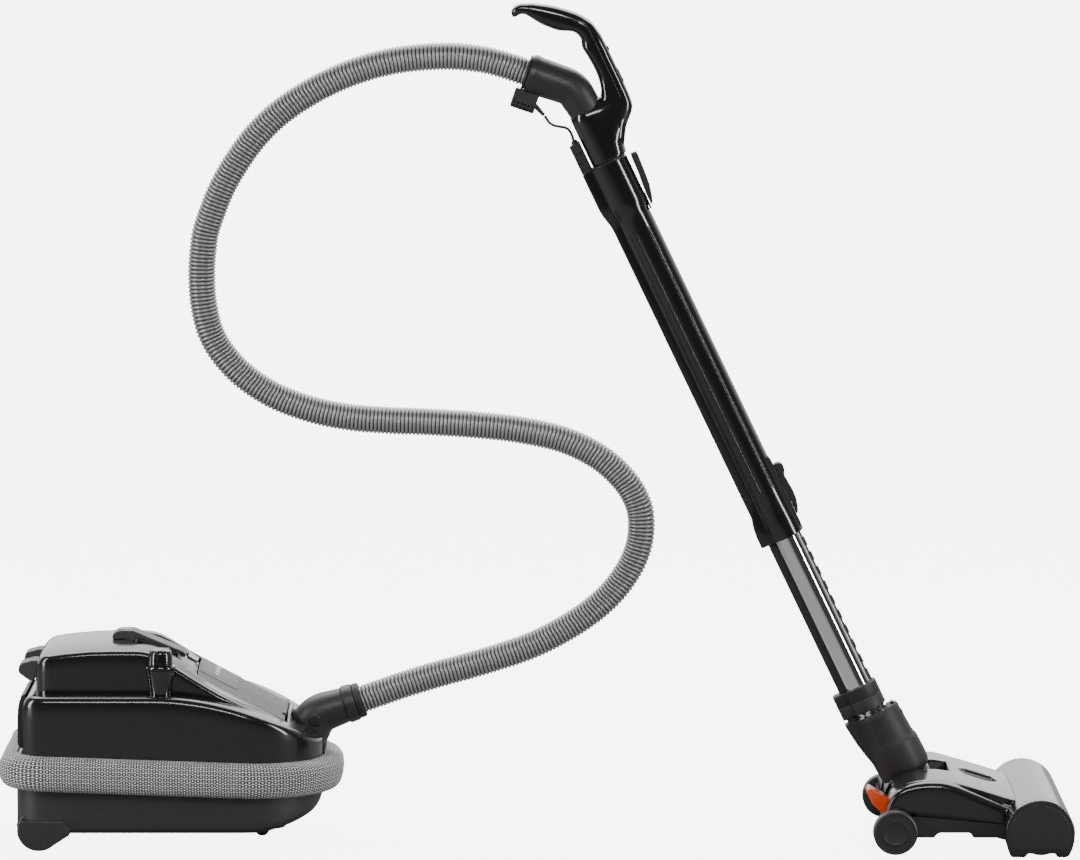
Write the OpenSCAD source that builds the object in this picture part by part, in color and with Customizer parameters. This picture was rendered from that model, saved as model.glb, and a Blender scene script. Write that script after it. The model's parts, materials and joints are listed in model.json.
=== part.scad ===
// Canister vacuum cleaner: a wheeled canister, a corrugated hose, a telescopic wand and a power head.
// Millimetres, +Z up, +X from the canister towards the power head. The origin is on the floor, at the
// middle of the whole cleaner's length and width.

/* [Overall] */
// Length from the bumper's rear to the front of the power head
overall_l = 1300; // [1296:1:1310]
// How far the wand leans back from upright, degrees
lean = 25.6; // [24:0.2:27]

/* [Canister] */
// Length of the casing
case_l = 371; // [368:1:376]
// Width of the casing
case_w = 246; // [244:1:252]
// Height of the ledge round the raised deck
ledge_z = 190; // [188:1:192]
// Height of the raised deck
deck_z = 245; // [243:1:248]
// Width of the raised deck
deck_w = 180; // [176:1:184]
// Clearance under the casing
floor_gap = 23; // [22:1:24]
// Thickness of the casing walls
wall = 3; // [2.5:0.5:3.5]

/* [Bumper belt] */
// Height of the belt's middle
belt_z = 92; // [90:1:94]
// Height of the belt itself
belt_h = 42; // [38:1:44]
// How far the belt stands out from the casing
belt_proud = 23; // [22:1:24]
// How far the belt slopes down towards the front, degrees
belt_tilt = 2; // [0:0.5:2]

/* [Hose and wand] */
// Outer diameter of the hose
hose_d = 34; // [32:1:36]
// Outer diameter of the chrome inner tube
inner_tube_d = 34; // [33:1:34]
// Outer diameter of the outer telescopic tube
outer_tube_d = 44; // [44:1:46]
// Length of the outer telescopic tube
outer_tube_l = 506; // [500:1:506]
// Diameter of the lead between the cable block and the wand plug
lead_d = 3.5; // [3:0.5:4]

/* [Power head] */
// Width of the power head over its end caps
head_w = 310; // [310:1:314]
// Width of the power head's body behind the roller
head_body_w = 236; // [234:1:236]
// Outer radius of the roller hood
hood_r = 42; // [42:0.5:42.5]
// Radius of the rear wheels of the power head
head_wheel_r = 27; // [26.5:0.5:27]

/* [Hidden] */

$fn = 64;
fit = 0.05;         // running clearance of a shaft in its bore
slack = 0.5;        // gap round a moving panel or lever
cut = 1;            // how far a cutting shape runs past a face

case_x = -overall_l / 2 + belt_proud;
case_half = case_w / 2;
rear_r = 35;        // plan corner radius at the rear
front_r = 100;      // plan corner radius at the front
panel_t = 10;       // depth of the rear panel

ledge_flat = 163;   // where the ledge starts to fall
ledge_r = 366;      // radius of the falling ledge
nose_r = 80;        // radius of the underside's nose
nose_x = case_l - nose_r;

deck_x = 23;        // rear face of the deck
deck_half = deck_w / 2;
deck_rear_r = 20;
hood_break_x = 147; // where the deck turns down into the hood
hood_break_r = 60;
hood_slope = 27.4;  // fall of the hood, degrees
hood_end_x = 330;
hood_start = [
  hood_break_x + hood_break_r * sin(hood_slope),
  deck_z - hood_break_r * (1 - cos(hood_slope))
];

lid_x0 = 218;
lid_x1 = 324;
lid_half = 68;
lid_t = 4;
lid_pivot = [322, 157];
lid_pin_r = 1.5;
lid_edge_x = 327;   // front edge of the lid's opening

pit_x0 = 139;       // hand recess under the carry handle
pit_x1 = 193;
pit_half = 45;
pit_floor = 214;

pod_x = 175;        // suction knob and its pod
pod_y = -95;
pod_r = 12.5;
pod_top_r = 14.5;
pod_top_z = 222;
pod_sink = 1.5;
knob_r = 15;
scallop_r = 20;

pedal_y = 45;
pedal_half = 17;
pedal_pivot = [34, 216];

wheel_x = 27;       // rear wheels of the canister
wheel_r = 26;
wheel_y0 = 93;
wheel_y1 = 113;
well_r = 29;
cover_y = 117;
axle_r = 4;

castor_x = 303;     // castor swivel axis
castor_trail = 10;
castor_wheel_r = 9;
castor_half = 7;
castor_pin_r = 2;
castor_disc_r = 21;
castor_top = 22.5;
castor_stem_r = 6;

motor_y = 48;
motor_z = 112;
motor_r = 44;
motor_x0 = 40;
motor_x1 = 140;
reel_x = 75;
reel_y0 = -86;
reel_y1 = -30;
reel_z = 95;
reel_r = 50;
reel_post_r = 6;

elbow_base = [351, 134.5];
elbow_bend = [362.5, 151];
elbow_end = [408, 166];
elbow_r = 27;
elbow_mouth_r = 23;
elbow_bore = 18.5;
cuff_r = 20.5;
cuff_l = 9;
cuff_bore = 15;
socket_tilt = atan2(elbow_bend[0] - elbow_base[0], elbow_bend[1] - elbow_base[1]);

wand_x = 452;       // pivot of the wand on the power head
wand_z = 57;
tube_v = 4;         // the tubes' axis, across from the pivot
tube_end = 345;
tube_top = tube_end + outer_tube_l;
inner_u0 = 90;
inner_u1 = 600;
collar_u0 = 109;
collar_u1 = 141;
rack_pitch = 20;

grip_half = 15;
skirt_v = 7;
skirt_r = 21;
skirt_u0 = 853;
skirt_u1 = 919;
handle_tube_r = 18;
top_elbow_base = [8.5, 919];
top_elbow_bend = [5, 951];
top_elbow_end = [-35, 990];
top_elbow_r = 21.5;
top_elbow_mouth_r = 23.5;
top_cuff_l = 4;

neck_v = 12;        // the neck swivel's axis, across from the pivot
neck_seat_u = 18;
neck_top_u = 103;
drum_r = 24;
drum_half = 27;
trunnion_r = 6;
trunnion_half = 33.5;

head_half = head_w / 2;
body_half = head_body_w / 2;
hood_x = overall_l / 2 - hood_r;
hood_z = 28;
hood_t = 3;
cap_t = 16;
cap_y = head_half - cap_t;
notch_half = 34.5;
notch_x = 506;
head_wheel_x = 435;
head_wheel_y = body_half + 2;
head_wheel_w = 19;
brush_r = 22;
bristle_r = 27;
brush_shaft_r = 4;
pulley_y = 104;
pulley_w = 8;
brush_pulley_r = 16;
motor_pulley_r = 9;
head_motor = [515, 46];
head_motor_r = 19;
dial_at = [542, 74.3];
dial_r = 20;
dish_depth = 4.5;
cover_crest = [505, 85.5];
cover_front = [576, 64];
cover_fall = atan2(cover_crest[1] - cover_front[1], cover_front[0] - cover_crest[0]);
head_pedal_pivot = [432, 50];

// The hose's centreline in X and Z, from the canister's cuff to the handle's cuff.
hose_route = [
  [-210, 169], [-186, 177.5], [-162, 186], [-120, 199], [-60, 216], [-2, 236], [50, 264], [88, 294],
  [113, 326], [126, 355], [130, 383], [126, 410], [109, 439], [78, 467], [35, 488], [-17, 500],
  [-68, 506], [-129, 510], [-179, 512], [-227, 516], [-274, 526], [-318, 543], [-354, 567],
  [-379, 594], [-394, 621], [-402, 655], [-404, 690], [-402, 722], [-396, 752], [-374, 805],
  [-338, 858], [-296, 896], [-239, 928], [-178, 948], [-115, 955], [-68, 952], [-38, 945], [-11.5, 936.2]
];
// The lead's centreline in X and Z, from the cable block to the wand plug.
lead_route = [
  [12, 883], [14, 880], [16, 877], [18, 874.5], [21, 872.5], [24, 871], [27, 870.3], [30, 869.8],
  [33, 869.4], [36, 868.8], [39, 867.6], [41.5, 865.6], [43.5, 862.8], [45, 859.5], [46.2, 856.3],
  [47, 853]
];

function arc(c, r, a0, a1, n = 8) = [for (i = [0:n]) let (a = a0 + (a1 - a0) * i / n) c + r * [cos(a), sin(a)]];
function hood_at(x) = hood_start[1] - (x - hood_start[0]) * tan(hood_slope);
function unit(v) = v / norm(v);
function heading(a, b) = atan2(b[0] - a[0], b[1] - a[1]);

// ---------- frames and shared shapes ----------

module at_canister() { translate([case_x, 0, 0]) children(); }

module at_wand() { translate([wand_x, 0, wand_z]) rotate([0, -lean, 0]) children(); }

// An outline in X and Z, carried from y0 to y1.
module slab(outline, y0, y1) {
  translate([0, y1, 0]) rotate([90, 0, 0]) linear_extrude(y1 - y0) polygon(outline);
}

// A round bar along Y at a point in X and Z.
module bar_y(at, r, y0, y1) {
  translate([at[0], y1, at[1]]) rotate([90, 0, 0]) cylinder(r = r, h = y1 - y0);
}

module block(x, y, z) {
  translate([x[0], y[0], z[0]]) cube([x[1] - x[0], y[1] - y[0], z[1] - z[0]]);
}

module both_sides() {
  children();
  mirror([0, 1, 0]) children();
}

// A round bar between two points in X and Z.
module rod(a, b, r) {
  translate([a[0], 0, a[1]]) rotate([0, heading(a, b), 0]) cylinder(r = r, h = norm(b - a));
}

// A bent pipe from a through m to b, with a ball a little fuller than both legs at the bend.
module bent_pipe(a, m, b, ra, rb) {
  rod(a, m, ra);
  rod(m, b, rb);
  translate([m[0], 0, m[1]]) sphere(r = max(ra, rb) + 0.6);
}

module tube(points, r, sides) {
  n = len(points);
  function along(i) = unit(points[min(i + 1, n - 1)] - points[max(i - 1, 0)]);
  rings = [
    for (i = [0:n - 1])
      let (t = along(i))
        for (k = [0:sides - 1])
          let (a = 360 * k / sides)
            [points[i][0] - r * cos(a) * t[1], r * sin(a), points[i][1] + r * cos(a) * t[0]]
  ];
  walls = [
    for (i = [0:n - 2])
      for (k = [0:sides - 1])
        let (p = i * sides + k, q = i * sides + (k + 1) % sides)
          [p, q, q + sides, p + sides]
  ];
  first = [for (k = [sides - 1:-1:0]) k];
  last = [for (k = [0:sides - 1]) (n - 1) * sides + k];
  polyhedron(rings, concat(walls, [first], [last]));
}

// ---------- canister casing ----------

module case_plan(inset = 0) {
  half = case_half - inset;
  rear = rear_r - inset;
  front = front_r - inset;
  x0 = inset;
  x1 = case_l - inset;
  translate([x0 + rear, -half]) square([x1 - x0 - rear - front, 2 * half]);
  translate([x0, rear - half]) square([2 * rear, 2 * (half - rear)]);
  translate([x1 - 2 * front, front - half]) square([2 * front, 2 * (half - front)]);
  for (side = [-1, 1]) {
    translate([x0 + rear, side * (half - rear)]) circle(r = rear);
    translate([x1 - front, side * (half - front)]) circle(r = front);
  }
}

module case_prism(z0, z1, inset = 0) {
  translate([0, 0, z0]) linear_extrude(z1 - z0) case_plan(inset);
}

// The ledge outline: flat over the rear, then one long arc down to the nose.
function ledge_outline(t) = concat(
  [[t, belt_z], [t, 118], [panel_t + t, 120], [panel_t + t, ledge_z - 12]],
  arc([panel_t + 12, ledge_z - 12], 12 - t, 180, 90, 4),
  arc([ledge_flat, ledge_z - ledge_r], ledge_r - t, 90, 54, 12),
  [[case_l + cut, belt_z]]
);

function deck_outline(t) = concat(
  [[deck_x + t, belt_z]],
  arc([deck_x + deck_rear_r, deck_z - deck_rear_r], deck_rear_r - t, 180, 90, 6),
  arc([hood_break_x, deck_z - hood_break_r], hood_break_r - t, 90, 90 - hood_slope, 4),
  [[hood_end_x - t, hood_at(hood_end_x - t) - t / cos(hood_slope)], [hood_end_x - t, belt_z]]
);

function tray_outline(t) = concat(
  [[t, belt_z + cut], [t, floor_gap + 8], [6 + t, floor_gap + t]],
  arc([nose_x, floor_gap + nose_r], nose_r - t, -90, -5, 10),
  [[case_l - t, belt_z + cut]]
);

wheel_cover_outline = concat(
  [[5, 39], [57, 39], [67, 26], [56, 15]],
  arc([29, 27], 24.5, -55, -180, 8)
);

module base_tray() {
  color("dimgray") at_canister() difference() {
    union() {
      difference() {
        intersection() {
          slab(tray_outline(0), -case_half, case_half);
          case_prism(0, belt_z);
        }
        intersection() {
          slab(tray_outline(wall), -case_half, case_half);
          case_prism(0, belt_z + cut, wall);
        }
      }
      intersection() {
        both_sides() bar_y([wheel_x, wheel_r], well_r + wall, wheel_y0 - 5, case_half);
        case_prism(floor_gap, belt_z);
      }
      translate([castor_x, 0, floor_gap]) cylinder(r = 11, h = 14);
    }
    both_sides() {
      bar_y([wheel_x, wheel_r], well_r, wheel_y0 - 2, case_half + cut);
      bar_y([wheel_x, wheel_r], axle_r, wheel_y0 - 8, case_half);
      slab(wheel_cover_outline, cover_y, case_half + cut);
    }
    translate([castor_x, 0, 0]) cylinder(r = castor_stem_r + fit, h = floor_gap + 12);
  }
}

// The fixed pin the lid turns on, with its two brackets.
module lid_pin() {
  bar_y(lid_pivot, lid_pin_r, -60, 60);
  both_sides() {
    bar_y(lid_pivot, 3, 54, 60);
    block([lid_pivot[0] - 3, lid_edge_x + 1.5], [54, 60], [141, lid_pivot[1]]);
  }
}

module upper_casing() {
  color("#141416") at_canister() lid_pin();
  color("#141416") at_canister() difference() {
    union() {
      difference() {
        union() {
          intersection() {
            slab(ledge_outline(0), -case_half, case_half);
            case_prism(belt_z, deck_z);
          }
          slab(deck_outline(0), -deck_half, deck_half);
        }
        intersection() {
          slab(ledge_outline(wall), -case_half, case_half);
          case_prism(belt_z - cut, deck_z, wall);
        }
        slab(deck_outline(wall), wall - deck_half, deck_half - wall);
      }
      intersection() {
        slab(deck_outline(0), -deck_half, deck_half);
        union() {
          block([pit_x0 - wall, pit_x1 + wall], [-pit_half - wall, pit_half + wall],
                [pit_floor - wall, deck_z]);
          translate([pod_x, pod_y, ledge_z - wall]) cylinder(r = scallop_r + wall, h = deck_z);
        }
      }
    }
    block([pit_x0, pit_x1], [-pit_half, pit_half], [pit_floor, deck_z + cut]);
    translate([pod_x, pod_y, ledge_z]) cylinder(r = scallop_r, h = deck_z);
    translate([pod_x, pod_y, ledge_z - pod_sink]) cylinder(r = pod_r, h = deck_z);
    block([lid_x0 - 15.5, lid_x0 - slack], [-16, 16], [hood_at(lid_x0) - 5, deck_z]);
    block([lid_x0 - 2 * slack, lid_edge_x], [-lid_half - slack, lid_half + slack],
          [hood_at(hood_end_x) - 9, deck_z]);
    block([hood_end_x - wall, case_l + cut], [-36, 36], [104, deck_z]);
    both_sides() block([deck_x - cut, deck_x + wall + cut], [pedal_y - 19, pedal_y + 19],
                       [ledge_z, ledge_z + 42]);
  }
}

// The belt's cross-section, from inside the casing's skin to its crown.
module belt_section() {
  r = 17;
  translate([-6, -belt_h / 2]) square([belt_proud + 6 - r, belt_h]);
  translate([-6, r - belt_h / 2]) square([belt_proud + 6, belt_h - 2 * r]);
  for (side = [-1, 1])
    translate([belt_proud - r, side * (belt_h / 2 - r)]) circle(r = r);
}

module belt_corner(x, y, r, from) {
  translate([x, y, 0]) rotate_extrude(angle = 90, start = from) translate([r, 0]) belt_section();
}

module belt_ring() {
  side_l = case_l - rear_r - front_r;
  both_sides() {
    translate([rear_r, case_half, 0]) rotate([90, 0, 90]) linear_extrude(side_l) belt_section();
    belt_corner(rear_r, case_half - rear_r, rear_r, 90);
    belt_corner(case_l - front_r, case_half - front_r, front_r, 0);
  }
  translate([case_l, case_half - front_r, 0]) rotate([90, 0, 0])
    linear_extrude(2 * (case_half - front_r)) belt_section();
  translate([0, rear_r - case_half, 0]) rotate([90, 0, 180])
    linear_extrude(2 * (case_half - rear_r)) belt_section();
}

module airbelt() {
  color("#8a8a88") at_canister() difference() {
    translate([case_l / 2, 0, belt_z]) rotate([0, belt_tilt, 0]) translate([-case_l / 2, 0, 0]) belt_ring();
    case_prism(0, deck_z);
  }
}

module rear_panel() {
  top = ledge_z - 3;
  foot_z = 120;
  color("#1d1d20") at_canister() difference() {
    slab([
      [panel_t, top], [6, top - 4], [1, top - 16], [0, top - 26], [0, foot_z + 6], [4, foot_z], [panel_t, foot_z]
    ], -75, 75);
    translate([-cut, 0, 140]) rotate([0, 90, 0]) cylinder(r = 10, h = panel_t + 2 * cut);
  }
}

module cord_outlet() {
  color("#0c0c0c") at_canister() translate([1, 0, 140]) rotate([0, 90, 0]) difference() {
    cylinder(r = 10, h = 9);
    translate([0, 0, -cut]) cylinder(r = 4.5, h = 12);
  }
}

// A block at the rear of the hand recess and a bar that slopes down over it.
module carry_handle() {
  color("#3c3d3f") at_canister() {
    slab([
      [112, deck_z], [112, deck_z + 6], [120, deck_z + 11], [141, deck_z + 10], [200, 229],
      [202, hood_at(202)], [pit_x1, hood_at(pit_x1)], [176, 234.5], [143, deck_z + 2], [pit_x0, deck_z]
    ], -16, 16);
  }
}

module inlet_socket() {
  face = [elbow_base[0], 0, elbow_base[1]];
  color("#101012") at_canister() difference() {
    union() {
      translate(face) rotate([0, socket_tilt, 0]) block([-12, 28], [-34, 34], [-14, 0]);
      translate(face) rotate([0, socket_tilt, 0]) translate([0, 0, -34]) cylinder(r = 23, h = 26);
      block([hood_end_x - wall, hood_end_x + 2], [-36, 36], [116, 147]);
    }
    translate(face) rotate([0, socket_tilt, 0]) translate([0, 0, -14.5]) cylinder(r = 20, h = 16);
    translate(face) rotate([0, socket_tilt, 0]) translate([0, 0, -36]) cylinder(r = elbow_bore, h = 24);
  }
}

module hose_elbow() {
  color("#2b2c2e") at_canister() difference() {
    union() {
      bent_pipe(elbow_base, elbow_bend, elbow_end, elbow_r, elbow_mouth_r);
      rod(elbow_base, elbow_base + 14 * unit(elbow_base - elbow_bend), 20);
    }
    bent_pipe(elbow_base + 16 * unit(elbow_base - elbow_bend), elbow_bend, elbow_end + 2 * unit(elbow_end - elbow_bend),
              elbow_bore, elbow_bore);
    bar_y([elbow_base[0] + 7, elbow_base[1] + 10.5], 8.4, -elbow_r - 4, 2.5 - elbow_r + 4);
  }
}

module elbow_button() {
  color("#1a1a1c") at_canister()
    bar_y([elbow_base[0] + 7, elbow_base[1] + 10.5], 8, -elbow_r - 1.5, 4 - elbow_r);
}

module swivel_cuff(at, from, r, length) {
  along = unit(at - from);
  difference() {
    union() {
      rod(at, at + length * along, r);
      rod(at - 12 * along, at + along, elbow_bore - 0.1);
    }
    rod(at - 14 * along, at + (length + 2) * along, cuff_bore);
  }
}

module hose_cuff_low() {
  color("#242527") at_canister()
    swivel_cuff(elbow_end + 0.3 * unit(elbow_end - elbow_bend), elbow_bend, cuff_r, cuff_l - 0.5);
}

module hose() { color("#7d7f82") tube(hose_route, hose_d / 2, 12); }

module bag_holder() {
  color("#d8d8d4") at_canister() translate([elbow_base[0], 0, elbow_base[1]]) rotate([0, socket_tilt, 0])
    difference() {
      block([-42, 30], [-45, 45], [-38, -34.2]);
      translate([0, 0, -40]) cylinder(r = elbow_bore, h = 10);
    }
}

module dust_bag() {
  r = 18;
  color("#cfc8b8") at_canister() translate([200, -80, 34]) linear_extrude(112) {
    translate([r, 0]) square([86 - 2 * r, 160]);
    translate([0, r]) square([86, 160 - 2 * r]);
    for (x = [r, 86 - r], y = [r, 160 - r]) translate([x, y]) circle(r = r);
  }
}

module motor_housing() {
  length = motor_x1 - motor_x0;
  color("#56585c") at_canister() translate([motor_x0, motor_y, motor_z]) rotate([0, 90, 0]) difference() {
    union() {
      difference() {
        cylinder(r = motor_r, h = length);
        translate([0, 0, wall]) cylinder(r = motor_r - wall, h = length - 2 * wall);
      }
      cylinder(r = 10, h = 13);
    }
    translate([0, 0, -cut]) cylinder(r = axle_r + fit, h = 15);
    translate([0, 0, length - 4]) cylinder(r = 20, h = 6);
  }
}

module motor_rotor() {
  color("#b87333") at_canister() translate([motor_x0, motor_y, motor_z]) rotate([0, 90, 0]) {
    translate([0, 0, 1]) cylinder(r = axle_r, h = 92);
    translate([0, 0, 20]) cylinder(r = 20, h = 42);
    difference() {
      translate([0, 0, 76]) cylinder(r = 36, h = 14);
      for (i = [0:8]) rotate([0, 0, 40 * i]) translate([14, -2, 79]) cube([23, 4, 12]);
    }
  }
}

module exhaust_filter() {
  color("#e6e4dc") at_canister() block([46, 130], [-58, 58], [197, 234]);
}

module reel_post() {
  color("#6b6d70") at_canister() {
    bar_y([reel_x, reel_z], reel_post_r, wall - case_half, reel_y1 + 4);
    bar_y([reel_x, reel_z], 14, wall - case_half, reel_y0 - 1);
  }
}

module cord_reel() {
  color("#26272a") at_canister() difference() {
    union() {
      bar_y([reel_x, reel_z], reel_r, reel_y0, reel_y0 + 3);
      bar_y([reel_x, reel_z], reel_r, reel_y1 - 3, reel_y1);
      bar_y([reel_x, reel_z], reel_r - 8, reel_y0 + 3, reel_y1 - 3);
    }
    bar_y([reel_x, reel_z], reel_post_r + fit, reel_y0 - cut, reel_y1 + cut);
  }
}

module wheel_covers() {
  color("#2e2f31") at_canister() both_sides() slab(wheel_cover_outline, cover_y, case_half);
}

module rear_axles() {
  color("silver") at_canister() both_sides() bar_y([wheel_x, wheel_r], axle_r, wheel_y0 - 8, cover_y);
}

module wheel(at, r, y0, y1, bore) {
  difference() {
    union() {
      bar_y(at, r - 1.5, y0, y1);
      bar_y(at, r, y0 + 2, y1 - 2);
    }
    bar_y(at, bore, y0 - cut, y1 + cut);
  }
}

module rear_wheel_near() {
  color("#1b1b1d") at_canister() mirror([0, 1, 0])
    wheel([wheel_x, wheel_r], wheel_r, wheel_y0, wheel_y1, axle_r + fit);
}

module rear_wheel_far() {
  color("#1b1b1d") at_canister() wheel([wheel_x, wheel_r], wheel_r, wheel_y0, wheel_y1, axle_r + fit);
}

module castor_fork() {
  hub_x = castor_x - castor_trail;
  cheek = castor_half + 4;
  color("#1b1b1d") at_canister() {
    difference() {
      union() {
        translate([castor_x, 0, castor_top - 8]) cylinder(r = castor_disc_r, h = 8);
        for (side = [-1, 1])
          bar_y([hub_x, castor_wheel_r], 7, side > 0 ? castor_half + slack : -cheek,
                side > 0 ? cheek : -castor_half - slack);
        for (side = [-1, 1])
          block([hub_x - 7, hub_x + 9], side > 0 ? [castor_half + slack, cheek] : [-cheek, -castor_half - slack],
                [castor_wheel_r, castor_top - 4]);
      }
      block([hub_x - 13, hub_x + 11], [-castor_half - slack, castor_half + slack], [0, 2 * castor_wheel_r + 1]);
    }
    bar_y([hub_x, castor_wheel_r], castor_pin_r, -cheek, cheek);
    translate([castor_x, 0, castor_top - 1]) cylinder(r = castor_stem_r, h = 12);
  }
}

module castor_wheel() {
  color("#3a3a3c") at_canister()
    wheel([castor_x - castor_trail, castor_wheel_r], castor_wheel_r, -castor_half, castor_half, castor_pin_r + fit);
}

module knob_pod() {
  color("#0b0b0c") at_canister() translate([pod_x, pod_y, ledge_z]) difference() {
    union() {
      translate([0, 0, -pod_sink]) cylinder(r = pod_r, h = pod_sink);
      cylinder(r1 = pod_r, r2 = pod_top_r, h = pod_top_z - ledge_z);
      translate([0, 0, pod_top_z - ledge_z]) cylinder(r = knob_r + 0.6, h = 3);
    }
    translate([0, 0, 12]) cylinder(r = 3 + fit, h = 40);
  }
}

module suction_knob() {
  base_z = pod_top_z + 3.3;
  color("#0b0b0c") at_canister() translate([pod_x, pod_y, base_z]) {
    cylinder(r1 = knob_r, r2 = knob_r - 1, h = 14);
    translate([0, 0, 14]) cylinder(r1 = knob_r - 1, r2 = knob_r - 5, h = 4.5);
    translate([-knob_r + 4, -2.5, 16]) cube([2 * knob_r - 8, 5, 5]);
    translate([0, 0, -16]) cylinder(r = 3, h = 17);
  }
}

// ---------- lid and controls ----------

module lid() {
  drop = lid_t / cos(hood_slope);
  panel_x = 268;
  color("#3a3b3e") at_canister() difference() {
    union() {
      slab([
        [lid_x0, hood_at(lid_x0)], [lid_x1, hood_at(lid_x1)], [lid_x1, hood_at(lid_x1) - drop],
        [lid_x0 + 2, hood_at(lid_x0 + 2) - drop]
      ], -lid_half, lid_half);
      bar_y(lid_pivot, 3.5, -50, 50);
    }
    bar_y(lid_pivot, lid_pin_r + fit, -52, 52);
    both_sides() bar_y(lid_pivot, 3.6, 52, 62);
    slab([
      [lid_x0 - cut, hood_at(lid_x0 - cut) + cut], [panel_x, hood_at(panel_x) + cut],
      [panel_x, hood_at(panel_x) - 2], [lid_x0 - cut, hood_at(lid_x0 - cut) - 2]
    ], -52, 52);
  }
}

module control_panel() {
  color("#4a4b4e") at_canister() slab([
    [lid_x0, hood_at(lid_x0)], [268, hood_at(268)], [268, hood_at(268) - 2], [lid_x0, hood_at(lid_x0) - 2]
  ], -52, 52);
}

module lid_latch() {
  color("#0a0a0a") at_canister() slab([
    [lid_x0 - 14, hood_at(lid_x0 - 14) + 1.5], [lid_x0 - 2, hood_at(lid_x0 - 2) + 1], [lid_x0 - 2, hood_at(lid_x0 - 2) - 3],
    [lid_x0 - 13, hood_at(lid_x0 - 13) - 3]
  ], -14, 14);
}

module foot_pedal() {
  slab([
    [1, 209], [1, 221], [18, 226], [38, 226], [38, 214], [26, 208], [18, 200]
  ], -pedal_half, pedal_half);
}

module power_pedal() { color("#4b4c4f") at_canister() translate([0, -pedal_y, 0]) foot_pedal(); }

module rewind_pedal() { color("#4b4c4f") at_canister() translate([0, pedal_y, 0]) foot_pedal(); }

// ---------- handle ----------

grip_outline = concat(
  [[skirt_v - skirt_r + 2, skirt_u0], [skirt_v - skirt_r + 3, skirt_u1 - 1], [30, skirt_u1 + 2], [35, 932], [39, 954]],
  [[36, 986], [39.3, 997], [34.5, 1007], [17, 1019], [1, 1038], [-10, 1054]],
  arc([-18, 1065], 9.5, -20, -150, 5),
  arc([-14, 1061], 12.5, 165, 60, 6),
  arc([47, 1001], 15, 50, 5, 5),
  [[61.4, 900], [58, 889], [31, skirt_u0]]
);

module grip() {
  color("#161618") at_wand() difference() {
    union() {
      slab(grip_outline, -grip_half, grip_half);
      translate([skirt_v, 0, skirt_u0]) cylinder(r = skirt_r, h = skirt_u1 - skirt_u0);
    }
    translate([tube_v, 0, skirt_u0 - cut]) cylinder(r = handle_tube_r, h = 62);
    translate([top_elbow_base[0], 0, skirt_u1 - 12]) cylinder(r = elbow_bore, h = 20);
    slab([[62, 1005], [57.2, 1005], [59.6, 930], [65, 930]], -5, 5);
    bent_pipe(top_elbow_base, top_elbow_bend, top_elbow_end, top_elbow_r + slack, top_elbow_mouth_r + slack);
  }
}

module airflow_slide() {
  color("#0d0d0e") at_wand()
    slab([[57.6, 994], [62.2, 992], [63, 950], [60.2, 950]], -4.5, 4.5);
}

module handle_tube() {
  color("#151517") at_wand() translate([tube_v, 0, 808]) difference() {
    cylinder(r = handle_tube_r, h = 98);
    translate([0, 0, -cut]) cylinder(r = 15.5, h = 102);
  }
}

module handle_elbow() {
  color("#2b2c2e") at_wand() difference() {
    bent_pipe(top_elbow_base + [0, 0.3], top_elbow_bend, top_elbow_end, top_elbow_r, top_elbow_mouth_r);
    bent_pipe(top_elbow_base - [0, 4], top_elbow_bend, top_elbow_end + 2 * unit(top_elbow_end - top_elbow_bend),
              elbow_bore, elbow_bore);
  }
}

module hose_cuff_top() {
  color("#242527") at_wand()
    swivel_cuff(top_elbow_end + 0.3 * unit(top_elbow_end - top_elbow_bend), top_elbow_bend, cuff_r, top_cuff_l - 0.5);
}

// The block clips under the elbow, in line with the hose.
module cable_block() {
  turn = heading(top_elbow_bend, top_elbow_end);
  color("#3c3d3f") at_wand() difference() {
    union() {
      translate([-55, 0, 961]) rotate([0, turn, 0]) block([-10, 14], [-9, 9], [-15, 15]);
      rod([-45, 951], [-40, 935], 3.2);
    }
    bent_pipe(top_elbow_base, top_elbow_bend, top_elbow_end, top_elbow_r, top_elbow_mouth_r);
  }
}

module handle_lead() { color("#161616") tube(lead_route, lead_d / 2, 8); }

module wand_plug() {
  color("#333436") at_wand() {
    block([-29.5, -14.4], [-7, 7], [tube_top, 888]);
    translate([-21, 0, 885]) cylinder(r1 = 6, r2 = 3.5, h = 8);
  }
}

// ---------- wand ----------

module tube_section(r, duct_v, duct_half) {
  difference() {
    union() {
      translate([tube_v, 0]) circle(r = r);
      translate([duct_v, -duct_half]) square([tube_v - duct_v, 2 * duct_half]);
    }
    translate([tube_v, 0]) circle(r = inner_tube_d / 2 + 0.4);
    translate([-20.6, -7.4]) square([tube_v + 20.6, 14.8]);
    translate([tube_v, -4.4]) square([20.2, 8.8]);
  }
}

module outer_tube() {
  r = outer_tube_d / 2;
  color("#101012") at_wand() difference() {
    union() {
      translate([0, 0, tube_end]) linear_extrude(outer_tube_l) tube_section(r, -25, 10);
      translate([0, 0, tube_end]) linear_extrude(40) tube_section(r + 1.5, -29.5, 12);
      translate([0, 0, tube_top - 64]) linear_extrude(64) tube_section(r + 3, -30, 13);
      difference() {
        block([20, 27.6], [-11, 11], [tube_end + 5, tube_end + 100]);
        block([tube_v, 24.2], [-4.4, 4.4], [tube_end, tube_end + 110]);
        translate([tube_v, 0, tube_end]) cylinder(r = inner_tube_d / 2 + 0.4, h = 110);
      }
    }
    translate([tube_v, 0, 806]) cylinder(r = handle_tube_r, h = 60);
  }
}

module top_catch() {
  color("#3c3d3f") at_wand() slab([
    [29.6, 783], [32.5, 782], [36.8, 806], [41.7, 846], [34.2, 849], [33.6, 812], [29.6, 795]
  ], -9, 9);
}

module telescope_button() {
  color("#242527") at_wand() slab([
    [27.8, 366], [29.5, 365.5], [33, 379], [34.6, 414], [38, 420], [36, 428.5], [27.8, 432]
  ], -9, 9);
}

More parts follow.
